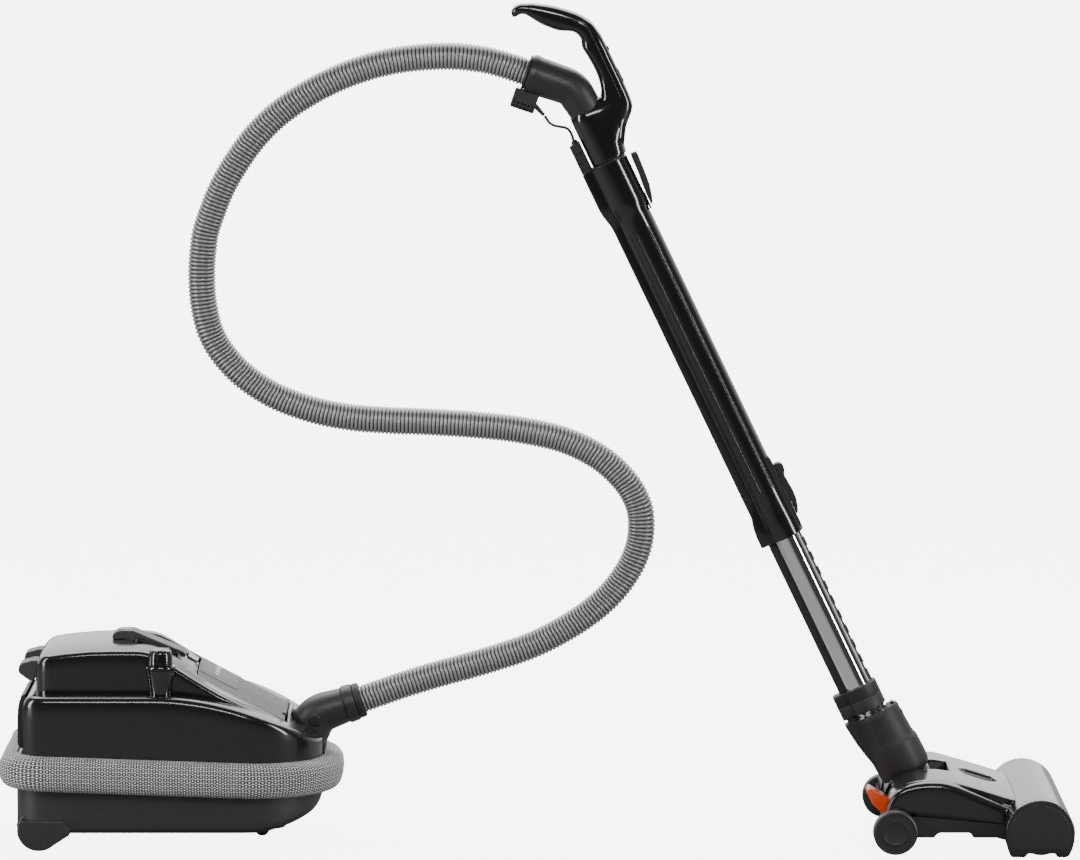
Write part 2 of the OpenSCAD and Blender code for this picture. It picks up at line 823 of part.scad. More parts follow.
module inner_tube() {
  color("gainsboro") at_wand() translate([tube_v, 0, inner_u0]) difference() {
    cylinder(r = inner_tube_d / 2, h = inner_u1 - inner_u0);
    translate([0, 0, -cut]) cylinder(r = inner_tube_d / 2 - 1.5, h = inner_u1 - inner_u0 + 2 * cut);
  }
}

module rack_strip() {
  color("#5c5d60") at_wand() difference() {
    block([tube_v + 14, 23.8], [-4, 4], [collar_u1, inner_u1 - 4]);
    translate([tube_v, 0, 0]) cylinder(r = inner_tube_d / 2, h = inner_u1 + cut);
    for (u = [collar_u1 + 14:rack_pitch:inner_u1 - 24]) block([22.2, 25], [-5, 5], [u, u + rack_pitch / 2]);
  }
}

module inner_duct() {
  color("#1a1a1c") at_wand() difference() {
    block([-20.2, tube_v], [-7, 7], [collar_u1, inner_u1 - 2]);
    translate([tube_v, 0, 0]) cylinder(r = inner_tube_d / 2, h = inner_u1 + cut);
  }
}

module tube_collar() {
  color("#29292b") at_wand() difference() {
    union() {
      translate([tube_v, 0, collar_u0]) cylinder(r = 23, h = collar_u1 - collar_u0);
      block([-30, tube_v], [-12, 12], [collar_u0, collar_u1]);
    }
    translate([tube_v, 0, collar_u0 - cut]) cylinder(r = inner_tube_d / 2, h = 40);
  }
}

// ---------- neck ----------

module neck_upper() {
  color("#29292b") at_wand() difference() {
    union() {
      translate([neck_v, 0, 0]) rotate_extrude() polygon([
        [0, neck_seat_u], [30, neck_seat_u], [32, 24], [32, 36], [30, 66], [27.5, 92], [27, neck_top_u], [0, neck_top_u]
      ]);
      slab([[-31, neck_top_u], [-28, 78], [-19, 42], [0, 42], [0, neck_top_u]], -13, 13);
      block([-24, -18], [-11, -7], [neck_top_u, collar_u0]);
      block([-14, -8], [-11, -7], [neck_top_u, collar_u0]);
    }
    translate([tube_v, 0, inner_u0]) cylinder(r = inner_tube_d / 2, h = 20);
    translate([8, 0, 0]) cylinder(r = 15, h = inner_u0 + cut);
    block([28.4, 50], [-8.6, 8.6], [84, neck_top_u + cut]);
  }
}

module neck_catch() {
  color("#1c1c1e") at_wand() slab([[32, 86], [41, 86], [38.5, 98], [34, 107], [30.6, 107], [31.6, 98]], -8, 8);
}

// A disc under the swivel, on a drum that tilts in the power head.
module neck_lower() {
  color("#0d0d0f") at_wand() difference() {
    union() {
      translate([neck_v, 0, 3]) cylinder(r = 28, h = neck_seat_u - 3.3);
      bar_y([0, 0], drum_r, -drum_half, drum_half);
      bar_y([0, 0], trunnion_r, -trunnion_half, trunnion_half);
    }
    translate([8, 0, -8]) cylinder(r = 15, h = 30);
    translate([0, 0, neck_seat_u - 0.3]) cylinder(r = 2 * drum_r, h = drum_r);
  }
}

// ---------- power head ----------

base_outline = [
  [424, 44], [424, 28], [450, 18], [482, 18], [488, 24], [526, 24], [530, 18], [560, 18], [580, 12], [580, 40]
];
cover_outline = concat(
  [[424, 44], [426, 58]],
  arc([462, 55], 34, 170, 88, 7),
  [cover_crest, cover_front, [580, 40]]
);
cover_lining = concat(
  [[427, 43], [429, 58]],
  arc([462, 55], 31, 170, 88, 7),
  [cover_crest - [0, wall], cover_front - [0, wall], [590, 39]]
);
cap_legs = [
  [hood_x - 39, 20], [hood_x - 39, 12], [hood_x - 35, 0], [hood_x - 18, 0], [hood_x - 15, 4], [hood_x + 17, 4],
  [hood_x + 20, 0], [hood_x + 34, 0], [hood_x + 39, 12], [hood_x + 39, 20]
];

module roller_space(r) { bar_y([hood_x, hood_z], r, -head_half, head_half); }

// The drive belt's way through the base, the cover and the hood.
module belt_slot() {
  translate([0, pulley_y + pulley_w + 3, 0]) rotate([90, 0, 0]) linear_extrude(pulley_w + 6) belt_loop(3.4);
}

module head_base() {
  color("#1e1e20") difference() {
    union() {
      difference() {
        slab(base_outline, -body_half, body_half);
        block([430, 500], [notch_half + wall, body_half - wall], [26, 60]);
        block([430, 500], [wall - body_half, -notch_half - wall], [26, 60]);
        block([500, 562], [wall - body_half, body_half - wall], [27, 60]);
        block([400, 500], [-notch_half, notch_half], [28, 60]);
      }
      both_sides() {
        bar_y([wand_x, wand_z], 15, 28.5, notch_half);
        block([wand_x - 15, wand_x + 15], [28.5, notch_half], [26, wand_z]);
        bar_y([head_wheel_x, head_wheel_r], 4, body_half - 8, head_wheel_y + head_wheel_w - 4);
      }
    }
    roller_space(hood_r);
    belt_slot();
    bar_y([wand_x, wand_z], trunnion_r + fit, -notch_half - cut, notch_half + cut);
    block([415, 442], [-82, -38], [30, 60]);
  }
}

// The height dial's frame: on the cover's sloping top, square to it.
module at_dial() { translate([dial_at[0], 0, dial_at[1]]) rotate([0, cover_fall, 0]) children(); }

module head_cover() {
  dish_r = dial_r + 4;
  color("#121214") difference() {
    union() {
      difference() {
        slab(cover_outline, -body_half, body_half);
        slab(cover_lining, wall - body_half, body_half - wall);
      }
      intersection() {
        slab(cover_outline, -body_half, body_half);
        union() {
          at_dial() translate([0, 0, -dish_depth - wall]) cylinder(r = dish_r + 3, h = 20);
          both_sides() block([424, notch_x + wall], [notch_half, notch_half + wall], [44, 100]);
          block([notch_x, notch_x + wall], [-notch_half - wall, notch_half + wall], [44, 100]);
        }
      }
    }
    block([400, notch_x], [-notch_half, notch_half], [20, 100]);
    at_dial() translate([0, 0, -dish_depth]) cylinder(r = dish_r, h = 20);
    at_dial() translate([0, 0, -dish_depth - 10]) cylinder(r = 3 + fit, h = 20);
    roller_space(hood_r);
    belt_slot();
    block([415, 442], [-82, -38], [30, 78]);
  }
}

module roller_hood() {
  mouth_z = 14;
  color("#141416") difference() {
    union() {
      intersection() {
        bar_y([hood_x, hood_z], hood_r, -head_half, head_half);
        block([hood_x - 60, hood_x + 60], [-head_half, head_half], [mouth_z, 100]);
      }
      both_sides() slab(cap_legs, cap_y, head_half);
    }
    bar_y([hood_x, hood_z], hood_r - hood_t, -cap_y, cap_y);
    block([hood_x - 60, hood_x + 60], [-cap_y, cap_y], [-20, mouth_z]);
    both_sides() bar_y([hood_x, hood_z], brush_shaft_r + fit, cap_y - cut, cap_y + 10);
    belt_slot();
  }
}

module brush_roller() {
  length = 2 * cap_y - 4;
  color("#7a1f1f") {
    bar_y([hood_x, hood_z], brush_shaft_r, -cap_y - 8, cap_y + 8);
    bar_y([hood_x, hood_z], brush_r - 2, -length / 2, pulley_y - 2);
    bar_y([hood_x, hood_z], brush_pulley_r, pulley_y - 2, pulley_y + pulley_w);
    bar_y([hood_x, hood_z], brush_r - 2, pulley_y + pulley_w + 1, length / 2);
    translate([hood_x, 0, hood_z]) for (i = [0:5])
      rotate([0, 60 * i, 0]) block([-2, 2], [-length / 2 + 4, pulley_y - 6], [0, bristle_r]);
  }
}

// The line round both pulleys, grown by a margin.
module belt_loop(grow) {
  ra = brush_pulley_r + grow;
  rb = motor_pulley_r + grow;
  a = [hood_x, hood_z];
  span = head_motor - a;
  aim = atan2(span[1], span[0]);
  open = acos((ra - rb) / norm(span));
  polygon(concat(
    arc(a, ra, aim + open, aim + 360 - open, 24),
    arc(head_motor, rb, aim - open, aim + open, 16)
  ));
}

module drive_belt() {
  color("#111111") translate([0, pulley_y + pulley_w - 1, 0]) rotate([90, 0, 0])
    linear_extrude(pulley_w - 2) difference() {
      belt_loop(2.2);
      belt_loop(0.2);
    }
}

module brush_motor() {
  color("#8d8f92") difference() {
    bar_y(head_motor, head_motor_r, 42, pulley_y - 4);
    bar_y(head_motor, 3 + fit, 60, pulley_y);
  }
}

module motor_pulley() {
  color("silver") {
    bar_y(head_motor, 3, 62, pulley_y + 1);
    bar_y(head_motor, motor_pulley_r, pulley_y, pulley_y + pulley_w);
  }
}

module height_knob() {
  color("#2c2d30") at_dial() translate([0, 0, 0.4 - dish_depth]) {
    cylinder(r = dial_r, h = 3.5);
    translate([0, 0, 3.5]) cylinder(r = dial_r - 3, h = 1.5);
    translate([-dial_r + 3, -3, 4]) cube([2 * dial_r - 6, 6, 5]);
    translate([0, 0, -6]) cylinder(r = 3, h = 7);
  }
}

module release_pedal() {
  color("orangered") slab([[402, 66], [405, 72], [433, 55], [435, 49], [431, 44], [424, 39], [409, 51]], -78, -42);
}

module head_wheel() {
  difference() {
    union() {
      bar_y([head_wheel_x, head_wheel_r], head_wheel_r - 1.5, head_wheel_y, head_wheel_y + head_wheel_w);
      bar_y([head_wheel_x, head_wheel_r], head_wheel_r, head_wheel_y + 2, head_wheel_y + head_wheel_w - 2);
    }
    bar_y([head_wheel_x, head_wheel_r], 4 + fit, head_wheel_y - cut, head_wheel_y + head_wheel_w - 3);
  }
}

module head_wheel_near() { color("#202022") mirror([0, 1, 0]) head_wheel(); }

module head_wheel_far() { color("#202022") head_wheel(); }

base_tray();
upper_casing();
airbelt();
rear_panel();
carry_handle();
inlet_socket();
hose_elbow();
bag_holder();
dust_bag();
motor_housing();
exhaust_filter();
cord_outlet();
reel_post();
wheel_covers();
rear_axles();
knob_pod();
lid();
control_panel();
lid_latch();
power_pedal();
rewind_pedal();
suction_knob();
elbow_button();
rear_wheel_near();
rear_wheel_far();
castor_fork();
castor_wheel();
motor_rotor();
cord_reel();
hose_cuff_low();
hose();
hose_cuff_top();
handle_elbow();
grip();
handle_tube();
airflow_slide();
cable_block();
handle_lead();
wand_plug();
outer_tube();
top_catch();
telescope_button();
inner_tube();
rack_strip();
inner_duct();
tube_collar();
neck_upper();
neck_catch();
neck_lower();
head_base();
head_cover();
roller_hood();
brush_roller();
drive_belt();
brush_motor();
motor_pulley();
height_knob();
release_pedal();
head_wheel_near();
head_wheel_far();
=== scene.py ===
# %% [markdown]
# # Canister vacuum cleaner
# A wheeled canister stands on the left, a powered brush head on the right. A telescopic wand leans back from
# the head, and a long corrugated hose runs from the canister's nose in an S up to the wand's hooked grip.
#
# The whole cleaner is about 1.3 m long and 1.02 m high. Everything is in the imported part's own frame:
# +X from the canister to the power head, +Y away from the viewer, +Z up, with the origin on the floor.

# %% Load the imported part
import json
import math

import bmesh
import bpy
import numpy as np
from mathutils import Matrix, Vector


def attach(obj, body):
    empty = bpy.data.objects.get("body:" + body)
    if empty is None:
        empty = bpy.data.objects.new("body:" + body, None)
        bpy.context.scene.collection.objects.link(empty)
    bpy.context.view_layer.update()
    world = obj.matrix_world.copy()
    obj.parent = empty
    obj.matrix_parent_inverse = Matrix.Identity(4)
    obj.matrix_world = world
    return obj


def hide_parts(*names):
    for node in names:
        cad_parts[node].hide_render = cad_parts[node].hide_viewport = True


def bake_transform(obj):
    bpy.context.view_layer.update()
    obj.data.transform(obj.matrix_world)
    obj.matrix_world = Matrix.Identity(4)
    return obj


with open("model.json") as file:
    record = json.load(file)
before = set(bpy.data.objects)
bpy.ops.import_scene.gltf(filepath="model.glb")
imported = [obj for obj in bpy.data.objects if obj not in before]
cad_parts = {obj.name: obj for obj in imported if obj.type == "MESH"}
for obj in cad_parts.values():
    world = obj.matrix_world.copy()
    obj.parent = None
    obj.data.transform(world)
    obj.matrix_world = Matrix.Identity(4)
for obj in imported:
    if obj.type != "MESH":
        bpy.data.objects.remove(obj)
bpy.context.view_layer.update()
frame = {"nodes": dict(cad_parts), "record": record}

# %% [markdown]
# ## The viewpoint
# A cleaner this size is best seen through a long lens from several metres away, with the lens just above the
# middle of the object, so that tubes stay straight and the far side of the power head hardly shrinks. A lens
# of about 212 mm at 7.7 m gives that. A shorter lens from nearer would splay the wand and the canister.

# %% Camera
CAMERA_AT = (0.00645, -7.7, 1.40)
CAMERA_DOWN_DEG = 6.666
LENS_MM = 212.3

camera_data = bpy.data.cameras.new("camera")
camera_data.lens = LENS_MM
camera_data.sensor_width = 36
camera_data.dof.use_dof = False
camera_data.clip_end = 50
camera = bpy.data.objects.new("camera", camera_data)
camera.location = CAMERA_AT
camera.rotation_euler = (math.radians(90 - CAMERA_DOWN_DEG), 0, 0)
bpy.context.scene.collection.objects.link(camera)
bpy.context.scene.camera = camera

# %% [markdown]
# ## Frames and point grids
# Every shape below is worked out in millimetres in one of three frames:
#
# - the canister's own, where x starts at the casing's rear face,
# - the wand's own, which leans back 25.6 degrees from its pivot on the power head; x runs across it and z
#   along it,
# - the row's frame, for the power head and the hose.
#
# A surface is a grid of points, P[i, k], built with whole arrays. `make` joins grids into one mesh, welds the
# seams and the poles, turns the normals outwards, gives the mesh its body and its finish, and hides the
# imported nodes it replaces.

# %% Frames
MM = 0.001
LEAN = math.radians(25.6)
CASE_REAR_X = -627.0


def in_row(p):
    """Points already in the row's frame, in millimetres."""
    return np.asarray(p, float)


def in_canister(p):
    """x starts at the rear face of the casing."""
    return np.asarray(p, float) + (CASE_REAR_X, 0, 0)


def in_wand(p):
    """x across the wand and z along it, from its pivot at (452, 0, 57)."""
    p = np.asarray(p, float)
    x = 452 + p[..., 0] * math.cos(LEAN) - p[..., 2] * math.sin(LEAN)
    z = 57 + p[..., 0] * math.sin(LEAN) + p[..., 2] * math.cos(LEAN)
    return np.stack([x, p[..., 1], z], axis=-1)


def quads(shape, close_k=False, start=0):
    """The faces of a grid of points with n rows of m points."""
    n, m = shape
    last = m if close_k else m - 1
    i, k = np.meshgrid(np.arange(n - 1), np.arange(last), indexing="ij")
    a = i * m + k
    b = i * m + (k + 1) % m
    return np.stack([a, b, b + m, a + m], axis=-1).reshape(-1, 4) + start


# %% [markdown]
# ## From points to a piece
# Every piece of the cleaner is moulded, turned or bent from tube. So every piece can be given as grids of
# points, and one maker can do the rest: join the grids, cut openings, give a shell its wall, round the edges
# and hand the mesh over with its body and its finish. Each piece is then a few lines, and all edges are
# rounded in the same way.

# %% The mesh maker
def make(name, grids, where, body, nodes=(), material=None, sharp=32, thick=0, bevel=0,
         segments=3, weld=True, keep=None, attribute=None):
    """One mesh from a list of (points, closed) grids or (points, face list) prisms."""
    points, faces, start = [], [], 0
    for p, kind in grids:
        p = np.asarray(p, float)
        if isinstance(kind, (list, tuple)):
            faces += [[start + q for q in f] for f in kind]
            flat = p
        else:
            faces += quads(p.shape[:2], kind, start).tolist()
            flat = p.reshape(-1, 3)
        points.append(flat)
        start += len(flat)
    local = np.concatenate(points)
    if keep is not None:
        centres = np.array([local[f].mean(axis=0) for f in faces])
        faces = [f for f, ok in zip(faces, keep(centres)) if ok]
    world = where(local) * MM
    data = bpy.data.meshes.new(name)
    data.from_pydata(world.tolist(), [], faces)
    if attribute is not None:
        layer = data.attributes.new("lay", "FLOAT_VECTOR", "POINT")
        layer.data.foreach_set("vector", np.asarray(attribute, np.float32).ravel())
    work = bmesh.new()
    work.from_mesh(data)
    if weld:
        bmesh.ops.remove_doubles(work, verts=work.verts, dist=2e-6)
        loose = [v for v in work.verts if not v.link_faces]
        bmesh.ops.delete(work, geom=loose, context="VERTS")
    bmesh.ops.recalc_face_normals(work, faces=work.faces)
    middle = Vector(world.mean(axis=0))
    outward = sum((f.calc_center_median() - middle).dot(f.normal) * f.calc_area() for f in work.faces)
    if outward < 0:
        bmesh.ops.reverse_faces(work, faces=work.faces)
    work.to_mesh(data)
    work.free()
    data.polygons.foreach_set("use_smooth", [True] * len(data.polygons))
    data.set_sharp_from_angle(angle=math.radians(sharp))
    thing = bpy.data.objects.new(name, data)
    bpy.context.scene.collection.objects.link(thing)
    if thick:
        solid = thing.modifiers.new("wall", "SOLIDIFY")
        solid.thickness = thick * MM
        solid.offset = -1
    if bevel:
        round_off = thing.modifiers.new("edges", "BEVEL")
        round_off.width = bevel * MM
        round_off.segments = segments
        round_off.limit_method = "ANGLE"
        round_off.angle_limit = math.radians(30)
        round_off.harden_normals = True
    if material is not None:
        data.materials.append(material)
    if nodes:
        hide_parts(*nodes)
    if body:
        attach(thing, body)
    return thing


# %% [markdown]
# Four shapes cover most moulded parts. A revolved profile makes wheels, knobs and cuffs. A swept section
# follows a line in the X-Z plane and makes pipes, grips and levers. A prism carries an outline from one side
# to the other, and its edges are rounded afterwards. A loft joins a stack of closed loops.

# %% Shapes
def revolved(profile, at, axis, n=72):
    """P(i, a) = at + h_i * axis + r_i * (e1 cos a + e2 sin a), for a profile of (r, h) pairs."""
    profile = np.asarray(profile, float)
    axis = np.asarray(axis, float) / np.linalg.norm(axis)
    e1 = np.cross(axis, (0.0, 1.0, 0.0) if abs(axis[1]) < 0.9 else (1.0, 0.0, 0.0))
    e1 /= np.linalg.norm(e1)
    e2 = np.cross(axis, e1)
    a = np.arange(n) * 2 * math.pi / n
    ring = np.cos(a)[:, None] * e1 + np.sin(a)[:, None] * e2
    p = np.asarray(at, float) + profile[:, 1, None, None] * axis + profile[:, 0, None, None] * ring
    return p, True


def headings(path):
    """Unit tangents of a line of (x, z) points, from central differences."""
    t = np.gradient(np.asarray(path, float), axis=0)
    return t / np.linalg.norm(t, axis=1)[:, None]


def swept(path, sections, ends=True):
    """P(i, k) = path_i + a_k * Y + b_k * N_i, where N_i is square to the path in the X-Z plane."""
    path = np.asarray(path, float)
    t = headings(path)
    s = np.broadcast_to(np.asarray(sections, float), (len(path),) + np.shape(sections)[-2:])
    p = np.empty(s.shape[:2] + (3,))
    p[..., 0] = path[:, 0, None] - s[..., 1] * t[:, 1, None]
    p[..., 1] = s[..., 0]
    p[..., 2] = path[:, 1, None] + s[..., 1] * t[:, 0, None]
    if ends:
        p = np.concatenate([p[:1] * 0 + p[:1].mean(axis=1, keepdims=True), p,
                            p[-1:] * 0 + p[-1:].mean(axis=1, keepdims=True)])
    return p, True


def prism(outline, low, high, along="y"):
    """An outline carried from low to high along y, z or x, with its two flat ends."""
    o = np.asarray(outline, float)
    if np.allclose(o[0], o[-1]):
        o = o[:-1]
    m = len(o)
    p = np.empty((2, m, 3))
    order = {"y": (0, 2, 1), "z": (0, 1, 2), "x": (1, 2, 0)}[along]
    p[..., order[0]] = o[:, 0]
    p[..., order[1]] = o[:, 1]
    p[0, :, order[2]] = low
    p[1, :, order[2]] = high
    faces = quads((2, m), True).tolist() + [list(range(m - 1, -1, -1)), list(range(m, 2 * m))]
    return p.reshape(-1, 3), faces


def loft(loops, ends=True):
    """A stack of closed loops with the same number of points, closed at both ends."""
    p = np.asarray(loops, float)
    if ends:
        p = np.concatenate([p[:1] * 0 + p[:1].mean(axis=1, keepdims=True), p,
                            p[-1:] * 0 + p[-1:].mean(axis=1, keepdims=True)])
    return p, True


def oval(half_a, half_b, n=40, power=2.0):
    """|a / half_a| ^ power + |b / half_b| ^ power = 1; a power over 2 squares the oval up."""
    a = np.arange(n) * 2 * math.pi / n
    c, s = np.cos(a), np.sin(a)
    return np.stack([half_a * np.sign(c) * np.abs(c) ** (2 / power),
                     half_b * np.sign(s) * np.abs(s) ** (2 / power)], axis=-1)


def box_outline(a0, a1, b0, b1, r=2.0, n=4):
    """A rectangle with rounded corners, as one closed outline."""
    turn = np.linspace(0, math.pi / 2, n + 1)
    corners = [(a1 - r, b1 - r, 0), (a0 + r, b1 - r, 1), (a0 + r, b0 + r, 2), (a1 - r, b0 + r, 3)]
    return np.array([(ca + r * math.cos(t + q * math.pi / 2), cb + r * math.sin(t + q * math.pi / 2))
                     for ca, cb, q in corners for t in turn])


def softened(outline, cuts=2):
    """Rounds an outline by cutting every corner, twice or more, at a quarter of each side."""
    o = np.asarray(outline, float)
    for _ in range(cuts):
        nxt = np.roll(o, -1, axis=0)
        o = np.stack([0.75 * o + 0.25 * nxt, 0.25 * o + 0.75 * nxt], axis=1).reshape(-1, 2)
    return o


def flowing(points, n):
    """A smooth line through given points: a Catmull-Rom curve, evenly spaced along its length."""
    p = np.asarray(points, float)
    p = np.vstack([2 * p[0] - p[1], p, 2 * p[-1] - p[-2]])
    u = np.linspace(0, 1, 24, endpoint=False)[:, None]
    parts = []
    for a, b, c, d in zip(p[:-3], p[1:-2], p[2:-1], p[3:]):
        parts.append(0.5 * (2 * b + (c - a) * u + (2 * a - 5 * b + 4 * c - d) * u ** 2
                            + (3 * b - a - 3 * c + d) * u ** 3))
    line = np.vstack(parts + [p[-2:-1]])
    s = np.r_[0, np.cumsum(np.linalg.norm(np.diff(line, axis=0), axis=1))]
    at = np.linspace(0, s[-1], n)
    return np.stack([np.interp(at, s, line[:, q]) for q in range(line.shape[1])], axis=-1)


def ramp(t):
    """A smooth step from 0 to 1: 3 t^2 - 2 t^3."""
    t = np.clip(t, 0, 1)
    return t * t * (3 - 2 * t)


# %% [markdown]
# ## Finishes
# Nearly everything here is moulded black or dark grey plastic. What tells the parts apart is the polish: the
# casing, the outer tube, the knob and the power head's cover are glossy, the tray, cuffs and elbows are
# satin, and the underside parts are matt with a fine grain. The only other finishes are the chrome tube, the
# orange pedal, the silvery hose and the black and white cord sleeve of the bumper.
#
# A glossy black moulding is a near-black base with a clear, smooth coat. Handling leaves faint smears that
# change the roughness a little, so one shared node group gives smears and settled dust to all of them, and the
# same group gives the satin parts the pebble grain of an etched mould.

# %% Shared node groups
def new_group(name, inputs, outputs):
    group = bpy.data.node_groups.new(name, "ShaderNodeTree")
    for label, kind, value in inputs:
        socket = group.interface.new_socket(name=label, in_out="INPUT", socket_type=kind)
        if value is not None:
            socket.default_value = value
    for label, kind in outputs:
        group.interface.new_socket(name=label, in_out="OUTPUT", socket_type=kind)
    return group, group.nodes.new("NodeGroupInput"), group.nodes.new("NodeGroupOutput")


def add(tree, kind, settings=None, **values):
    node = tree.nodes.new(kind)
    for key, value in (settings or {}).items():
        setattr(node, key, value)
    for key, value in values.items():
        node.inputs[key.replace("_", " ")].default_value = value
    return node


def math_node(tree, operation, a, b=None, c=None):
    node = tree.nodes.new("ShaderNodeMath")
    node.operation = operation
    for slot_index, value in enumerate((a, b, c)):
        if value is None:
            continue
        if hasattr(value, "is_output"):
            tree.links.new(value, node.inputs[slot_index])
        else:
            node.inputs[slot_index].default_value = value
    return node.outputs[0]


handled, g_in, g_out = new_group(
    "handled_plastic",
    [("Base Color", "NodeSocketColor", None), ("Roughness", "NodeSocketFloat", 0.2),
     ("Dust", "NodeSocketFloat", 0.1), ("Grain", "NodeSocketFloat", 0.0)],
    [("Base Color", "NodeSocketColor"), ("Roughness", "NodeSocketFloat"), ("Height", "NodeSocketFloat")])
place = add(handled, "ShaderNodeTexCoord")
smear = add(handled, "ShaderNodeTexNoise", Scale=14.0, Detail=3.0, Roughness=0.6)
speck = add(handled, "ShaderNodeTexNoise", Scale=900.0, Detail=2.0)
pebble = add(handled, "ShaderNodeTexVoronoi", Scale=1400.0)
for texture in (smear, speck, pebble):
    handled.links.new(place.outputs["Object"], texture.inputs["Vector"])
rough_shift = math_node(handled, "MULTIPLY_ADD", smear.outputs["Fac"], 0.10, -0.05)
rough_total = math_node(handled, "ADD", g_in.outputs["Roughness"], rough_shift)
facing_up = add(handled, "ShaderNodeSeparateXYZ")
shape = add(handled, "ShaderNodeNewGeometry")
handled.links.new(shape.outputs["Normal"], facing_up.inputs[0])
up_only = math_node(handled, "MAXIMUM", facing_up.outputs[2], 0.0)
dust_speck = math_node(handled, "MULTIPLY", speck.outputs["Fac"], up_only)
dust_amount = math_node(handled, "MULTIPLY", dust_speck, g_in.outputs["Dust"])
dusty = add(handled, "ShaderNodeMix", {"data_type": "RGBA"})
dusty.inputs["B"].default_value = (0.42, 0.41, 0.39, 1)
handled.links.new(dust_amount, dusty.inputs["Factor"])
handled.links.new(g_in.outputs["Base Color"], dusty.inputs["A"])
handled.links.new(dusty.outputs["Result"], g_out.inputs["Base Color"])
handled.links.new(rough_total, g_out.inputs["Roughness"])
handled.links.new(math_node(handled, "MULTIPLY", pebble.outputs["Distance"], g_in.outputs["Grain"]),
                  g_out.inputs["Height"])


def finish_of(name, color, roughness, coat=0.0, dust=0.1, grain=0.0, metallic=0.0, ior=1.5, sheen=0.0):
    """A Principled finish fed by the handled-plastic group."""
    material = bpy.data.materials.new(name)
    material.use_nodes = True
    tree = material.node_tree
    shader = tree.nodes["Principled BSDF"]
    life = tree.nodes.new("ShaderNodeGroup")
    life.node_tree = handled
    life.inputs["Base Color"].default_value = (*color, 1)
    life.inputs["Roughness"].default_value = roughness
    life.inputs["Dust"].default_value = dust
    life.inputs["Grain"].default_value = grain
    tree.links.new(life.outputs["Base Color"], shader.inputs["Base Color"])
    tree.links.new(life.outputs["Roughness"], shader.inputs["Roughness"])
    if grain:
        bump = tree.nodes.new("ShaderNodeBump")
        bump.inputs["Strength"].default_value = 0.35
        bump.inputs["Distance"].default_value = 0.0004
        tree.links.new(life.outputs["Height"], bump.inputs["Height"])
        tree.links.new(bump.outputs["Normal"], shader.inputs["Normal"])
    shader.inputs["Metallic"].default_value = metallic
    shader.inputs["IOR"].default_value = ior
    shader.inputs["Coat Weight"].default_value = coat
    shader.inputs["Coat Roughness"].default_value = 0.04
    shader.inputs["Sheen Weight"].default_value = sheen
    return material


# %% [markdown]
# ## The set of finishes
# The moulded plastics differ mostly in how sharply they mirror: polished covers, satin elbows, and finely
# grained necks and collars. One helper builds them all with different numbers, which keeps them related
# like parts from one supplier. Chrome, rubber and woven cloth need settings of their own.

# %% The finishes
gloss = finish_of("gloss_black", (0.006, 0.006, 0.007), 0.16, coat=0.6, dust=0.04)
case_gloss = finish_of("case_gloss", (0.006, 0.006, 0.007), 0.20, coat=0.5, dust=0.03)
satin = finish_of("satin_dark", (0.016, 0.0165, 0.0175), 0.42, dust=0.06, grain=0.3)
matt = finish_of("matt_dark", (0.010, 0.010, 0.011), 0.55, dust=0.06, grain=0.6)
tray_grey = finish_of("tray_grey", (0.024, 0.0245, 0.0255), 0.44, dust=0.05, grain=0.25)
mid_grey = finish_of("mid_grey", (0.040, 0.041, 0.043), 0.40, dust=0.05, grain=0.2)
panel_grey = finish_of("panel_grey", (0.20, 0.205, 0.21), 0.34, dust=0.03)
rubber = finish_of("soft_rubber", (0.018, 0.018, 0.019), 0.6, dust=0.12, grain=0.5)
orange = finish_of("pedal_orange", (0.85, 0.075, 0.008), 0.28, coat=0.3, dust=0.03)
steel = finish_of("steel_pin", (0.55, 0.55, 0.56), 0.25, metallic=1.0, dust=0.0)
chrome = finish_of("chrome_tube", (0.82, 0.82, 0.84), 0.06, metallic=1.0, dust=0.0)
copper = finish_of("wound_core", (0.40, 0.22, 0.12), 0.45, metallic=1.0, dust=0.0)
paper = finish_of("bag_paper", (0.62, 0.55, 0.42), 0.85, dust=0.2, sheen=0.3)
fleece = finish_of("filter_fleece", (0.80, 0.79, 0.75), 0.9, dust=0.1, sheen=0.3)
bristle_red = finish_of("brush_body", (0.16, 0.02, 0.02), 0.5, dust=0.2)
marks = finish_of("pale_marks", (0.62, 0.62, 0.62), 0.5, dust=0.0)

BY_SLOT = {
    "case_gloss": case_gloss, "case_satin": satin, "dark_matt": matt, "belt_weave": rubber,
    "mid_grey": mid_grey, "chrome_tube": chrome, "steel": steel, "copper_iron": copper, "hose_skin": mid_grey,
    "lead_rubber": rubber, "tyre_grey": rubber, "bag_paper": paper, "filter_white": fleece,
    "pedal_orange": orange, "brush_red": bristle_red, "belt_rubber": rubber,
}
for entry in frame["record"]["subparts"]:
    node = frame["nodes"][entry["node"]]
    node.data.materials.clear()
    node.data.materials.append(BY_SLOT[entry["material_slot"]])
print("finishes:", len(BY_SLOT))
